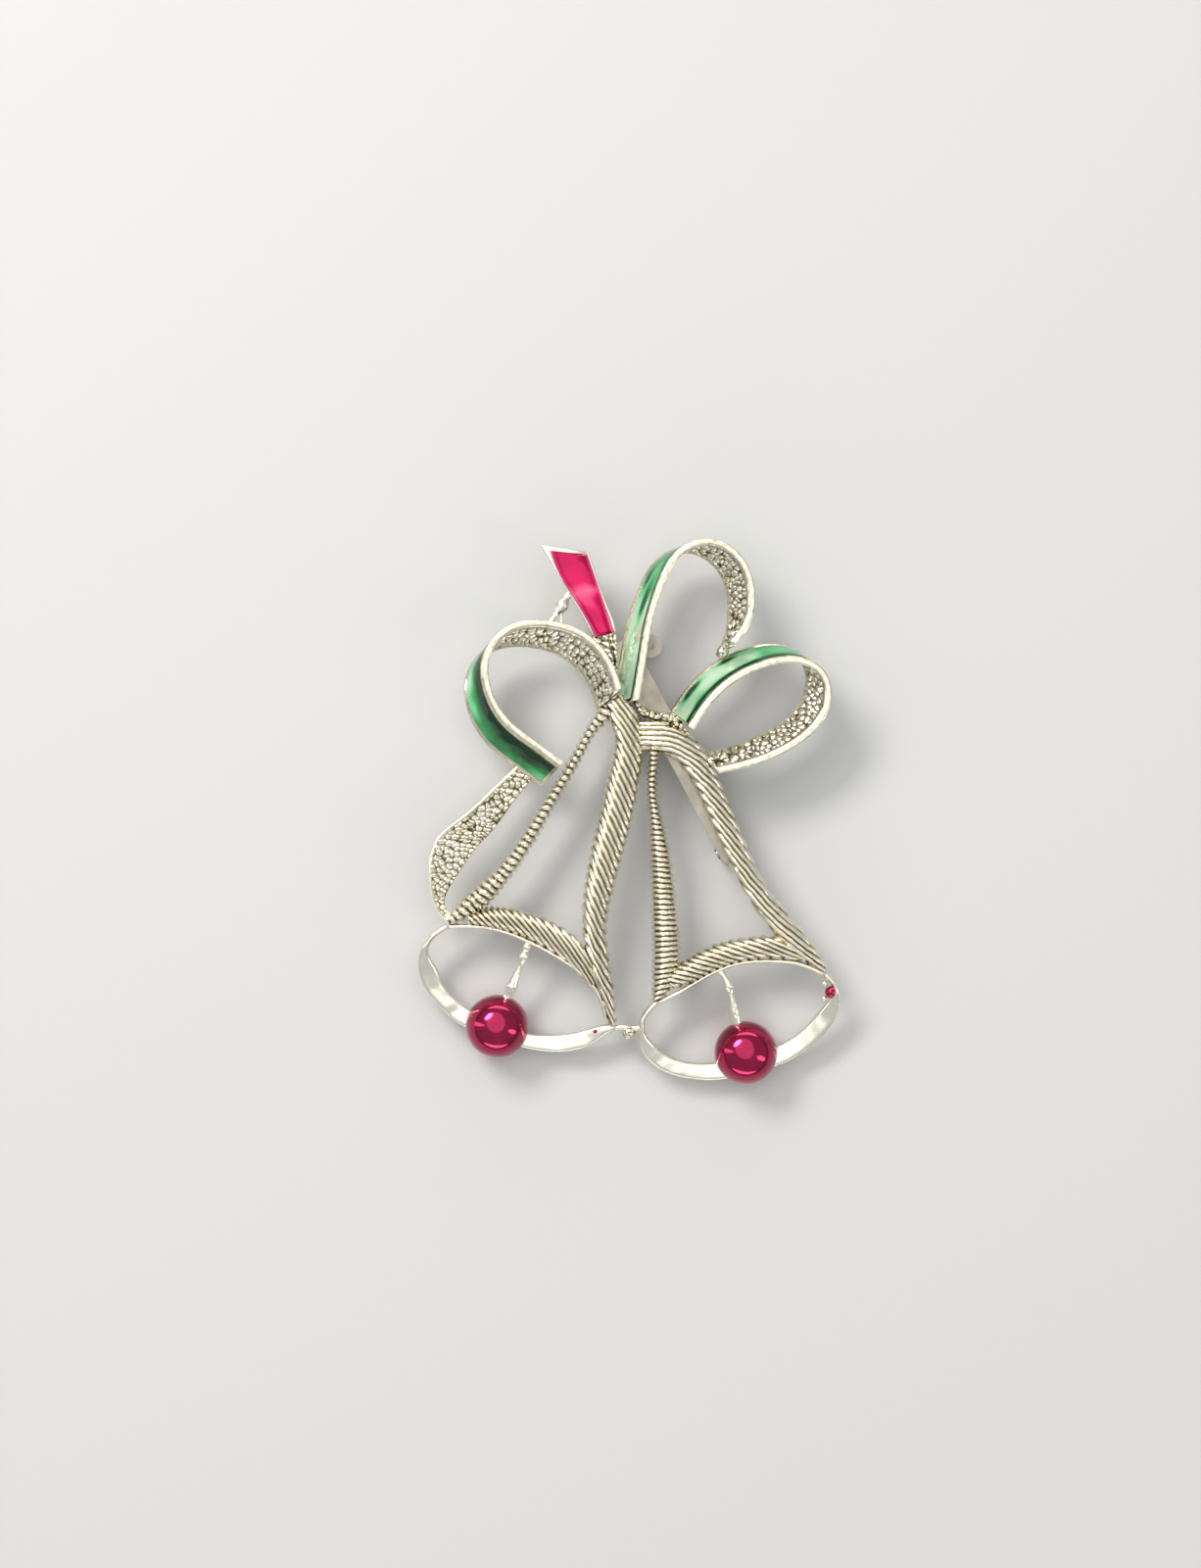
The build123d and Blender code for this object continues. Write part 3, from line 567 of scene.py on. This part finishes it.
def range_node(tree, source, low, high):
    """Noise from about 0.3 to 0.7 stretched to run from low to high."""
    spread = tree.nodes.new("ShaderNodeMapRange")
    spread.inputs["From Min"].default_value = 0.3
    spread.inputs["From Max"].default_value = 0.7
    spread.inputs["To Min"].default_value = low
    spread.inputs["To Max"].default_value = high
    tree.links.new(source, spread.inputs["Value"])
    return spread.outputs["Result"]


def bump_node(tree, shader, source, strength, distance):
    """Fine relief from a noise, with distance in metres."""
    bump = tree.nodes.new("ShaderNodeBump")
    bump.inputs["Strength"].default_value = strength
    bump.inputs["Distance"].default_value = distance
    tree.links.new(source, bump.inputs["Height"])
    tree.links.new(bump.outputs["Normal"], shader.inputs["Normal"])


def tint_node(tree, factor, source, tint):
    """The source colour multiplied by a tint, as far as the factor says."""
    mix = tree.nodes.new("ShaderNodeMix")
    mix.data_type = "RGBA"
    mix.blend_type = "MULTIPLY"
    first, second = (socket for socket in mix.inputs if socket.type == "RGBA")
    second.default_value = (*tint, 1)
    tree.links.new(factor, mix.inputs["Factor"])
    tree.links.new(source, first)
    return next(socket for socket in mix.outputs if socket.type == "RGBA")


def gold_material(name, smooth, rough, stops):
    """Pale gold plate. The stops give its colour from the hollows up to the crests; with the threaded and
    nugget ramps this paints shade into the hollows and a highlight onto the crests.
    """
    material, tree, shader = new_material(name, Metallic=1.0)
    colour = ramp_node(tree, relief_node(tree), stops)
    blotch = range_node(tree, noise_node(tree, scale=330), low=0.0, high=0.3)
    tree.links.new(tint_node(tree, blotch, colour, TARNISH), shader.inputs["Base Color"])
    tree.links.new(range_node(tree, noise_node(tree, scale=900), smooth, rough), shader.inputs["Roughness"])
    bump_node(tree, shader, noise_node(tree, scale=7000), strength=0.3, distance=FINE_BUMP)
    return material


def satin_material(name):
    """Plain satin plate for the pin fittings."""
    material, tree, shader = new_material(name, Metallic=1.0)
    colour = ramp_node(tree, noise_node(tree, scale=500), [(0.35, SATIN_WORN), (0.65, SATIN)])
    tree.links.new(colour, shader.inputs["Base Color"])
    roughness = range_node(tree, noise_node(tree, scale=900), low=0.26, high=0.42)
    tree.links.new(roughness, shader.inputs["Roughness"])
    bump_node(tree, shader, noise_node(tree, scale=5000), strength=0.3, distance=FINE_BUMP)
    return material


def steel_material(name):
    """Drawn steel wire."""
    material, tree, shader = new_material(name, Metallic=1.0, Base_Color=(*STEEL, 1))
    roughness = range_node(tree, noise_node(tree, scale=2600), low=0.16, high=0.3)
    tree.links.new(roughness, shader.inputs["Roughness"])
    return material


def enamel_material(name, stops, metal, coat, gloss):
    """Transparent enamel over bright metal, deep where it pools and pale where it is thin, the pale parts
    also standing for painted reflections and highlights.
    """
    material, tree, shader = new_material(name, Metallic=metal, Specular_IOR_Level=0.2, Coat_Weight=coat,
                                          Coat_Roughness=0.03, Coat_IOR=gloss)
    colour = ramp_node(tree, relief_node(tree), stops)
    cloud = range_node(tree, noise_node(tree, scale=260, detail=2.0), low=0.0, high=0.35)
    tree.links.new(tint_node(tree, cloud, colour, (0.55, 0.62, 0.58)), shader.inputs["Base Color"])
    roughness = range_node(tree, noise_node(tree, scale=700), low=0.12, high=0.24)
    tree.links.new(roughness, shader.inputs["Roughness"])
    bump_node(tree, shader, noise_node(tree, scale=900, detail=2.0), strength=0.25, distance=ENAMEL_BUMP)
    return material


def lacquer_material(name):
    """Cherry lacquer over bright metal."""
    material, tree, shader = new_material(name, Metallic=1.0, Coat_Weight=0.6, Coat_Roughness=0.02)
    stops = [(0.3, (0.28, 0.0, 0.035)), (0.7, (0.44, 0.003, 0.075))]
    colour = ramp_node(tree, noise_node(tree, scale=420, detail=3.0), stops)
    tree.links.new(colour, shader.inputs["Base Color"])
    roughness = range_node(tree, noise_node(tree, scale=1500), low=0.09, high=0.17)
    tree.links.new(roughness, shader.inputs["Roughness"])
    bump_node(tree, shader, noise_node(tree, scale=1100, detail=2.0), strength=0.12, distance=LACQUER_BUMP)
    return material


# The threaded and nugget ramps are painted shade at their dark end and painted highlight at their pale end.
RIBBED_STOPS = [(0.05, DEEP_SHADE), (0.32, OLIVE_SHADE), (0.55, WARM), (0.85, PALE)]
NUGGET_STOPS = [(0.02, DEEP_SHADE), (0.12, OLIVE_SHADE), (0.26, WARM), (0.5, BRIGHT)]
POLISHED_STOPS = [(0.0, PALE), (1.0, BRIGHT)]
ribbed_gold = gold_material("ribbed_gold", smooth=0.18, rough=0.32, stops=RIBBED_STOPS)
nugget_gold = gold_material("nugget_gold", smooth=0.16, rough=0.30, stops=NUGGET_STOPS)
polished_gold = gold_material("polished_gold", smooth=0.14, rough=0.28, stops=POLISHED_STOPS)
pin_gold = satin_material("pin_gold")
steel = steel_material("pin_steel_wire")
# The palest green is partly thin enamel and partly a painted reflection.
GREENS = [(0.0, (0.0005, 0.035, 0.008)), (0.3, (0.008, 0.28, 0.07)), (0.6, (0.16, 0.62, 0.27)),
          (1.0, (0.58, 0.78, 0.56))]
# The palest pink, used along the edges, is partly thinner enamel and partly a painted highlight.
REDS = [(0.0, (0.30, 0.0, 0.035)), (0.5, (0.66, 0.001, 0.10)), (1.0, (0.88, 0.25, 0.38))]
green = enamel_material("green_enamel_gloss", GREENS, metal=0.5, coat=0.8, gloss=1.6)
red = enamel_material("red_enamel_gloss", REDS, metal=0.6, coat=0.35, gloss=1.5)
cherry = lacquer_material("cherry_lacquer")


# ---- Bells -----------------------------------------------------------------


def stand_for(piece, node):
    """The piece rides on the brooch and takes the place of a CAD node."""
    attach(piece, "brooch")
    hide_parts(node)


# Each node has its threads' pitch, how ragged it is, and its stations.
ROPE_BANDS = {
    "left_bell_inner_limb": (0.55, 0.2, [
        (-1.3, 10.6, 2.4, 3.3, 1.6, -50),
        (-0.35, 8.7, 3.0, 3.3, 2.0, -52),
        (0.0, 6.4, 3.05, 3.3, 2.0, -56),
        (-0.4, 3.8, 3.2, 3.3, 2.0, -60),
        (-1.1, 0.3, 3.35, 3.3, 2.0, -61),
        (-2.0, -3.4, 3.3, 3.3, 2.0, -62),
        (-2.9, -7.6, 2.9, 3.3, 2.0, -62),
        (-3.25, -11.0, 2.5, 3.3, 2.0, -60),
        (-2.75, -14.3, 2.2, 3.2, 1.9, -56),
        (-2.0, -17.4, 1.6, 2.9, 1.6, -56),
        (-1.5, -20.2, 0.9, 2.2, 1.2, -58),
    ]),
    "left_bell_outer_limb": (0.66, 0.3, [
        (-1.9, 9.7, 1.9, 3.3, 1.4, -30),
        (-3.3, 8.2, 1.45, 3.3, 1.6, -30),
        (-4.5, 6.1, 1.35, 3.3, 1.6, -22),
        (-6.3, 2.9, 1.4, 3.3, 1.6, -22),
        (-8.85, -1.35, 1.55, 3.3, 1.6, -24),
        (-10.8, -4.4, 1.75, 3.3, 1.6, -30),
        (-12.8, -6.8, 2.05, 3.3, 1.6, -38),
        (-14.9, -8.7, 2.2, 3.3, 1.6, -44),
        (-17.1, -10.35, 1.0, 3.3, 1.2, -46),
    ]),
    "left_bell_hem": (0.46, 0.2, [
        (-15.2, -10.1, 1.3, 3.3, 1.2, -48),
        (-12.9, -9.95, 2.3, 3.3, 1.7, -50),
        (-10.8, -10.3, 2.5, 3.3, 1.7, -52),
        (-8.4, -11.15, 2.65, 3.3, 1.7, -55),
        (-6.2, -12.45, 2.7, 3.3, 1.7, -57),
        (-4.4, -14.2, 2.3, 3.2, 1.6, -58),
        (-3.3, -16.2, 1.5, 3.1, 1.4, -60),
    ]),
    "right_bell_outer_limb": (0.55, 0.2, [
        (0.9, 7.25, 3.1, 3.3, 1.3, 0),
        (2.6, 7.25, 3.35, 3.3, 1.9, -1),
        (5.2, 6.1, 3.1, 3.3, 2.0, -24),
        (6.6, 4.3, 2.8, 3.3, 2.0, -36),
        (7.9, 1.6, 2.65, 3.3, 2.0, -42),
        (9.4, -1.9, 2.5, 3.3, 2.0, -46),
        (10.7, -4.8, 2.4, 3.3, 2.0, -48),
        (12.2, -7.6, 2.4, 3.3, 2.0, -46),
        (14.1, -10.2, 2.5, 3.3, 2.0, -40),
        (16.4, -12.7, 2.2, 3.3, 1.7, -34),
        (18.5, -15.0, 1.0, 3.1, 1.2, -30),
    ]),
    "right_bell_inner_limb": (0.5, 0.4, [
        (2.35, 6.4, 1.4, 3.3, 1.2, 0),
        (2.3, 4.6, 1.4, 3.3, 1.6, 0),
        (2.15, 2.6, 1.3, 3.3, 1.6, 0),
        (2.45, -0.2, 1.5, 3.3, 1.6, -2),
        (2.9, -3.6, 2.1, 3.3, 1.6, -3),
        (3.2, -7.2, 2.5, 3.3, 1.6, -2),
        (3.45, -10.8, 2.8, 3.3, 1.6, 2),
        (3.5, -13.8, 2.8, 3.3, 1.6, 5),
        (3.2, -16.0, 2.3, 3.2, 1.4, 8),
        (2.5, -17.9, 0.9, 3.0, 1.1, 10),
    ]),
    "right_bell_hem": (0.5, 0.2, [
        (3.8, -16.0, 1.9, 3.2, 1.4, -16),
        (5.6, -15.0, 2.5, 3.3, 1.7, -18),
        (7.6, -13.95, 2.6, 3.3, 1.7, -20),
        (9.9, -13.15, 2.5, 3.3, 1.7, -22),
        (12.3, -12.8, 2.4, 3.3, 1.7, -24),
        (14.6, -12.9, 2.2, 3.3, 1.5, -26),
        (16.8, -13.7, 1.2, 3.3, 1.2, -28),
    ]),
}
for node, (pitch, ragged, stations) in ROPE_BANDS.items():
    stand_for(rope_band(f"{node}_rope", stations, pitch, ribbed_gold, ragged), node)

# Each station is x, y, width, height of the back, rise.
SMOOTH_BANDS = {
    "left_bell_mouth_rim": [
        (-17.0, -10.78, RIM_WIDTH, 3.1, 0.9),
        (-15.2, -10.75, RIM_WIDTH, 3.1, 0.9),
        (-12.6, -11.05, RIM_WIDTH, 3.1, 0.9),
        (-9.6, -12.15, RIM_WIDTH, 3.1, 0.9),
        (-6.6, -13.75, RIM_WIDTH, 3.1, 0.9),
        (-4.2, -15.5, RIM_WIDTH, 3.0, 0.9),
        (-2.75, -17.5, RIM_WIDTH, 2.8, 0.9),
        (-2.2, -19.6, RIM_WIDTH, 2.4, 0.9),
    ],
    "left_bell_lip_outer": [
        (-17.2, -10.75, 0.6, 2.9, 1.3),
        (-18.7, -11.85, 0.6, 2.7, 1.4),
        (-19.4, -13.3, 0.95, 2.5, 1.3),
        (-19.1, -15.0, 1.75, 2.1, 1.1),
        (-18.3, -16.75, 1.75, 1.8, 1.0),
        (-17.1, -18.2, 1.7, 1.5, 1.0),
        (-15.6, -19.45, 1.75, 1.3, 1.0),
        (-14.3, -20.1, 1.7, 1.3, 1.0),
    ],
    "left_bell_lip_inner": [
        (-10.8, -21.4, 1.5, 1.3, 1.0),
        (-9.6, -21.75, 1.5, 1.3, 1.0),
        (-7.8, -21.95, 1.65, 1.35, 1.0),
        (-5.9, -21.9, 1.7, 1.5, 1.0),
        (-4.2, -21.5, 1.6, 1.7, 1.0),
        (-2.8, -20.85, 1.2, 1.9, 1.0),
        (-1.5, -20.35, 0.7, 2.1, 0.9),
    ],
    "right_bell_mouth_rim": [
        (2.8, -17.95, RIM_WIDTH, 2.8, 0.9),
        (4.5, -17.15, RIM_WIDTH, 3.0, 0.9),
        (7.4, -15.45, RIM_WIDTH, 3.1, 0.9),
        (10.3, -14.3, RIM_WIDTH, 3.1, 0.9),
        (13.4, -14.05, RIM_WIDTH, 3.1, 0.9),
        (16.4, -14.4, RIM_WIDTH, 3.1, 0.9),
        (18.35, -15.25, RIM_WIDTH, 3.0, 0.9),
    ],
    "right_bell_lip_outer": [
        (18.6, -15.35, 0.62, 2.8, 1.3),
        (19.6, -16.8, 0.6, 2.6, 1.3),
        (19.35, -18.2, 1.25, 2.3, 1.2),
        (18.6, -19.6, 1.75, 2.0, 1.1),
        (17.2, -21.2, 1.75, 1.7, 1.0),
        (15.6, -22.45, 1.75, 1.4, 1.0),
        (14.1, -23.2, 1.8, 1.3, 1.0),
        (12.9, -23.6, 1.7, 1.3, 1.0),
    ],
    "right_bell_lip_inner": [
        (2.6, -18.0, 0.62, 2.6, 1.3),
        (1.45, -19.4, 0.6, 2.4, 1.3),
        (1.25, -21.0, 0.8, 2.2, 1.2),
        (1.8, -22.3, 1.4, 1.9, 1.1),
        (2.9, -23.45, 1.6, 1.7, 1.0),
        (4.5, -24.25, 1.6, 1.5, 1.0),
        (6.3, -24.6, 1.6, 1.35, 1.0),
        (8.0, -24.65, 1.7, 1.3, 1.0),
        (9.4, -24.5, 1.7, 1.3, 1.0),
    ],
}
for node, stations in SMOOTH_BANDS.items():
    stand_for(smooth_band(f"{node}_plain", stations, polished_gold), node)

# Each station is x, y, z, radius.
RODS = {
    "left_clapper_stem": [
        (-9.5, -12.15, 3.45, 0.4), (-9.57, -12.45, 3.45, 0.32), (-9.64, -12.75, 3.5, 0.42),
        (-9.72, -13.0, 3.5, 0.3), (-9.82, -13.3, 3.5, 0.42), (-9.98, -13.75, 3.5, 0.5),
        (-10.12, -14.2, 3.4, 0.3), (-10.3, -14.65, 3.3, 0.24), (-10.6, -15.3, 3.15, 0.34),
        (-10.85, -15.9, 3.05, 0.44), (-11.12, -16.5, 2.9, 0.56), (-11.35, -17.05, 2.8, 0.44),
        (-11.7, -18.0, 2.6, 0.48),
    ],
    "right_clapper_stem": [
        (8.35, -14.95, 3.45, 0.34), (8.75, -15.2, 3.5, 0.36), (9.05, -15.6, 3.6, 0.3),
        (9.25, -16.0, 3.6, 0.38), (9.42, -16.4, 3.5, 0.52), (9.55, -16.8, 3.45, 0.36),
        (9.7, -17.4, 3.35, 0.34), (9.9, -18.3, 3.15, 0.44), (10.1, -19.3, 2.9, 0.54),
        (10.3, -20.2, 2.7, 0.5),
    ],
}
for node, stations in RODS.items():
    stand_for(rod(f"{node}_cast", stations, polished_gold), node)

BEADS = {"left_clapper_bead": (-12.5, -20.3), "right_clapper_bead": (11.1, -22.8)}
for node, centre in BEADS.items():
    stand_for(bead(f"{node}_lacquered", centre, cherry), node)

# ---- Bow -------------------------------------------------------------------

# Each loop has its lean and the lean at its far end, the length of its bare end, its pool, where its
# enamel is pale, partly thin and partly painted reflection, its streaks, and its route.
LOOPS = {
    "left": (
        (-1.9, -1.95), (-1.9, -1.95), 0.25, 0.5,
        [(0.0, 0.2), (0.5, 0.45), (0.62, 0.8), (0.7, 0.45), (0.8, 0.15), (0.92, 0.35), (1.0, 0.6)],
        [(27.5, 0.45, 1.2, 0.2), (31.0, 0.55, 0.7, 0.25)],
        [
            (-0.9, 11.6), (-1.9, 14.2), (-4.2, 16.7), (-7.6, 17.8), (-11.1, 17.35),
            (-13.2, 15.1), (-13.3, 12.1), (-11.6, 8.75), (-8.8, 6.45), (-6.3, 4.6),
        ],
    ),
    "top": (
        (-2.1, -0.7), (-1.45, -1.2), 0.9, 0.08,
        [(0.0, 1.4), (0.27, 1.5), (0.36, 0.6), (0.5, 0.2), (1.0, 0.4)],
        [(9.6, 0.4, 1.6, 0.16), (12.2, 0.75, 0.9, 0.12)],
        [
            (0.75, 10.7), (1.35, 14.2), (2.0, 18.0), (3.1, 21.5), (4.9, 24.5),
            (7.9, 25.45), (10.45, 23.9), (11.6, 20.7), (11.1, 17.7), (9.85, 15.95),
        ],
    ),
    "right": (
        (-1.85, 1.45), (-1.85, 1.45), 0.3, 0.18,
        [(0.0, 1.4), (0.1, 0.9), (0.26, 1.4), (0.33, 0.5), (1.0, 0.25)],
        [(2.8, 0.84, 1.3, 0.14), (7.2, 0.86, 1.0, 0.12)],
        [
            (5.9, 7.9), (7.3, 10.0), (9.7, 12.35), (12.7, 13.85), (15.6, 14.3),
            (18.1, 13.2), (18.8, 10.9), (17.8, 8.4), (15.0, 6.1), (11.6, 4.65), (8.4, 3.9),
        ],
    ),
}
for order, (side, (lean, end_lean, bare_end, pool, thin_and_sheen, streaks, route)) in enumerate(LOOPS.items()):
    seed = SEED + 10 * order
    loop = ribbon(f"bow_loop_{side}_ribbon", route, lean, end_lean, nugget_gold, seed)
    stand_for(loop, f"bow_loop_{side}")
    layer = enamel_layer(f"green_enamel_{side}_gloss", route, lean, end_lean, bare_end, pool, thin_and_sheen, streaks,
                         green, seed + 5)
    stand_for(layer, f"green_enamel_{side}")

# Each station is a left and a right point, x, y, z.
RED_TAIL = [
    ((-2.1, 12.4, 4.0), (-1.05, 12.5, 4.0)),
    ((-2.9, 14.8, 4.1), (-1.15, 15.0, 4.1)),
    ((-3.45, 16.6, 4.2), (-1.3, 17.1, 4.2)),
    ((-4.9, 19.4, 4.4), (-2.3, 20.1, 4.4)),
    ((-6.7, 22.4, 4.6), (-3.3, 23.0, 4.6)),
    ((-8.4, 25.25, 4.8), (-3.8, 24.55, 4.8)),
]
RED_ENAMEL = [
    ((-3.1, 16.55, 4.2), (-1.5, 16.95, 4.2)),
    ((-4.75, 19.45, 4.4), (-2.45, 20.05, 4.4)),
    ((-6.55, 22.4, 4.6), (-3.45, 22.95, 4.6)),
    ((-7.45, 24.7, 4.73), (-3.95, 24.3, 4.77)),
]
LOWER_TAIL = [
    ((-10.4, 4.6, 3.5), (-8.5, 4.0, 2.9)),
    ((-13.0, 2.1, 4.0), (-11.0, 0.9, 2.9)),
    ((-15.6, -0.3, 4.3), (-13.0, -1.8, 2.9)),
    ((-18.4, -2.9, 4.4), (-14.7, -3.7, 3.0)),
    ((-18.9, -5.4, 4.4), (-16.1, -5.7, 3.1)),
    ((-18.7, -7.7, 4.3), (-17.2, -7.5, 3.4)),
    ((-18.1, -9.4, 4.2), (-17.4, -8.9, 3.8)),
    ((-17.1, -10.4, 4.1), (-16.6, -9.8, 3.9)),
]
RED_TONES = [(0.0, 0.42), (0.3, 0.45), (0.5, 0.72), (0.62, 0.5), (1.0, 0.36)]
tail = strip("red_tail_strip_metal", RED_TAIL, thickness=0.6, sag=0.3, material=nugget_gold, seed=SEED,
             grain=0.2, bare=0.33)
stand_for(tail, "red_tail_strip")
enamel = enamel_pool("red_tail_enamel_gloss", RED_ENAMEL, thickness=0.3, sag=0.3, lift=0.2, tones=RED_TONES,
                     material=red, seed=SEED)
stand_for(enamel, "red_tail_enamel")
tail = strip("lower_tail_ribbon", LOWER_TAIL, thickness=0.6, sag=0.1, material=nugget_gold, seed=SEED + 3,
             grain=0.17, rim=0.28)
stand_for(tail, "lower_tail")

# Blobs with no CAD node: red flecks with gold beside them, and the joint of the top and right loops.
FLECKS = {
    "mouth_fleck_red": ((19.15, -17.0, 3.3), 0.6, cherry, "red_lacquer"),
    "mouth_fleck_upper": ((18.55, -16.2, 3.3), 0.3, polished_gold, "gold_polished"),
    "mouth_fleck_lower": ((18.5, -17.6, 3.1), 0.32, polished_gold, "gold_polished"),
    "lip_fleck_red": ((-3.2, -20.75, 2.65), 0.24, cherry, "red_lacquer"),
    "bow_loop_top_joint": ((8.85, 15.2, 4.1), 0.6, nugget_gold, "gold_nugget"),
}
for name, (centre, radius, material, slot) in FLECKS.items():
    fleck = lump(name, centre, radius, material, size=0.3, depth=0.06)
    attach(fleck, "brooch")

# The lumpy metal behind the crowns and at the feet of the loops.
KNOT_LUMPS = {
    "bow_knot_crook": [
        (0.55, 10.5, 0.8, 3.3, 1.2), (1.1, 9.75, 1.0, 3.3, 1.5), (2.0, 9.2, 1.1, 3.3, 1.5),
        (3.1, 9.1, 1.1, 3.3, 1.5), (4.3, 8.95, 1.0, 3.3, 1.4), (5.1, 8.5, 0.7, 3.3, 1.1),
    ],
    "bow_knot_right_foot": [
        (3.6, 8.9, 0.5, 3.9, 1.3), (4.3, 8.5, 0.8, 3.9, 1.7), (5.1, 7.9, 0.8, 3.9, 1.7),
        (5.7, 7.3, 0.5, 3.9, 1.4),
    ],
    "bow_knot_left_foot": [
        (-2.4, 10.35, 0.4, 3.4, 1.0), (-1.7, 10.8, 0.7, 3.4, 1.3), (-0.9, 11.0, 0.8, 3.4, 1.4),
        (0.0, 10.85, 0.7, 3.5, 1.5), (0.8, 10.4, 0.6, 3.6, 1.6),
    ],
}
for name, stations in KNOT_LUMPS.items():
    knot = lumpy_band(name, stations, size=0.62, depth=0.22, material=nugget_gold)
    stand_for(knot, "bow_knot")

STRUT = [
    (-7.35, 17.95, 4.6, 0.42), (-7.1, 18.4, 4.6, 0.27), (-6.85, 18.8, 4.5, 0.3), (-6.6, 19.15, 4.4, 0.52),
    (-6.35, 19.55, 4.3, 0.66), (-6.15, 19.9, 4.3, 0.55), (-5.98, 20.2, 4.25, 0.36), (-5.8, 20.5, 4.2, 0.4),
    (-5.5, 20.8, 4.2, 0.3),
]
STRUT_LEG = [(-6.35, 17.8, 4.6, 0.16), (-6.38, 18.4, 4.55, 0.12), (-6.4, 19.2, 4.45, 0.16)]
stand_for(rod("tail_strut_cast", STRUT, polished_gold), "tail_strut")
stand_for(rod("tail_strut_leg", STRUT_LEG, polished_gold), "tail_strut")
LINK = [(-1.3, -20.45, 2.6, 0.3), (-0.5, -20.35, 2.65, 0.22), (0.3, -20.5, 2.6, 0.3), (1.1, -20.4, 2.6, 0.28)]
stand_for(rod("bell_link_wire", LINK, polished_gold), "bell_link_bead")
link_ball = lump("bell_link_ball", (0.0, -20.9, 2.6), 0.68, nugget_gold, size=0.5, depth=0.1)
stand_for(link_ball, "bell_link_bead")

# ---- CAD nodes that keep their shape ----------------------------------------

WORN_EDGE = 0.06 * MM
WORN_ANGLE = 50  # least angle in degrees between faces whose edge is worn
KEPT = {
    "pin_bar": pin_gold,
    "hinge_rivet": pin_gold,
    "catch_housing": pin_gold,
    "catch_rotor": pin_gold,
    "pin_stem": steel,
}
for node, material in KEPT.items():
    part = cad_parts[node]
    part.data.materials.clear()
    part.data.materials.append(material)
    edges = part.modifiers.new("worn_edges", "BEVEL")
    edges.width = WORN_EDGE
    edges.segments = 2
    edges.limit_method = "ANGLE"
    edges.angle_limit = math.radians(WORN_ANGLE)

# ---- Floor, light and camera -------------------------------------------------

FLOOR_SIZE = 1.2
FLOOR_GAP = 0.02 * MM  # keeps the floor clear of the flat backs
bpy.ops.mesh.primitive_plane_add(size=FLOOR_SIZE, location=(0, 0, -FLOOR_GAP))
floor = bpy.context.object
floor.name = "floor"
paper, _, _ = new_material("pale_floor", Roughness=0.8, Base_Color=(0.54, 0.53, 0.515, 1))
floor.data.materials.append(paper)

world = bpy.data.worlds.new("studio")
world.use_nodes = True
sky = world.node_tree
direction = sky.nodes.new("ShaderNodeTexCoord")
height = sky.nodes.new("ShaderNodeSeparateXYZ")
sky.links.new(direction.outputs["Generated"], height.inputs["Vector"])
SKY_STOPS = [(0.0, (0.28, 0.29, 0.30)), (0.3, (0.52, 0.54, 0.56)), (1.0, (0.62, 0.64, 0.66))]
sky.links.new(ramp_node(sky, height.outputs["Z"], SKY_STOPS), sky.nodes["Background"].inputs["Color"])
bpy.context.scene.world = world


def softbox(name, place, size, power, colour=(1, 1, 1)):
    """An area light that faces the middle of the brooch. Place and size are in metres."""
    light = bpy.data.lights.new(name, "AREA")
    light.shape = "ELLIPSE"
    light.size, light.size_y = size
    light.energy = power
    light.color = colour
    lamp = bpy.data.objects.new(name, light)
    lamp.location = place
    aim = -lamp.location
    lamp.rotation_euler = aim.to_track_quat("-Z", "Y").to_euler()
    bpy.context.collection.objects.link(lamp)


softbox("overhead", place=(-0.08, 0.26, 0.85), size=(1.2, 1.4), power=3.6)
softbox("key", place=(-0.26, 0.30, 0.34), size=(0.30, 0.14), power=2.0, colour=(1.0, 0.98, 0.94))
softbox("low_front", place=(-0.05, -0.60, 0.14), size=(0.80, 0.12), power=0.7)
softbox("low_back", place=(0.05, 0.62, 0.14), size=(0.80, 0.12), power=0.7)
softbox("low_left", place=(-0.62, 0.05, 0.14), size=(0.12, 0.80), power=0.5)
softbox("fill", place=(0.36, -0.14, 0.22), size=(0.10, 0.26), power=0.25, colour=(1.0, 0.95, 0.88))

FRAME_HEIGHT = 148.1 * MM  # of the view at the brooch's front
FRONT_PLANE = 4.0 * MM
VIEW_CENTRE = (-2.69 * MM, 2.69 * MM)
LENS, SENSOR = 85.0, 36.0
CLIP_START = 0.01
camera_data = bpy.data.cameras.new("camera")
camera_data.lens = LENS
camera_data.sensor_width = SENSOR
camera_data.clip_start = CLIP_START
camera = bpy.data.objects.new("camera", camera_data)
camera.location = (*VIEW_CENTRE, FRONT_PLANE + FRAME_HEIGHT * LENS / SENSOR)
bpy.context.collection.objects.link(camera)
bpy.context.scene.camera = camera
bpy.context.scene.view_settings.view_transform = "Standard"
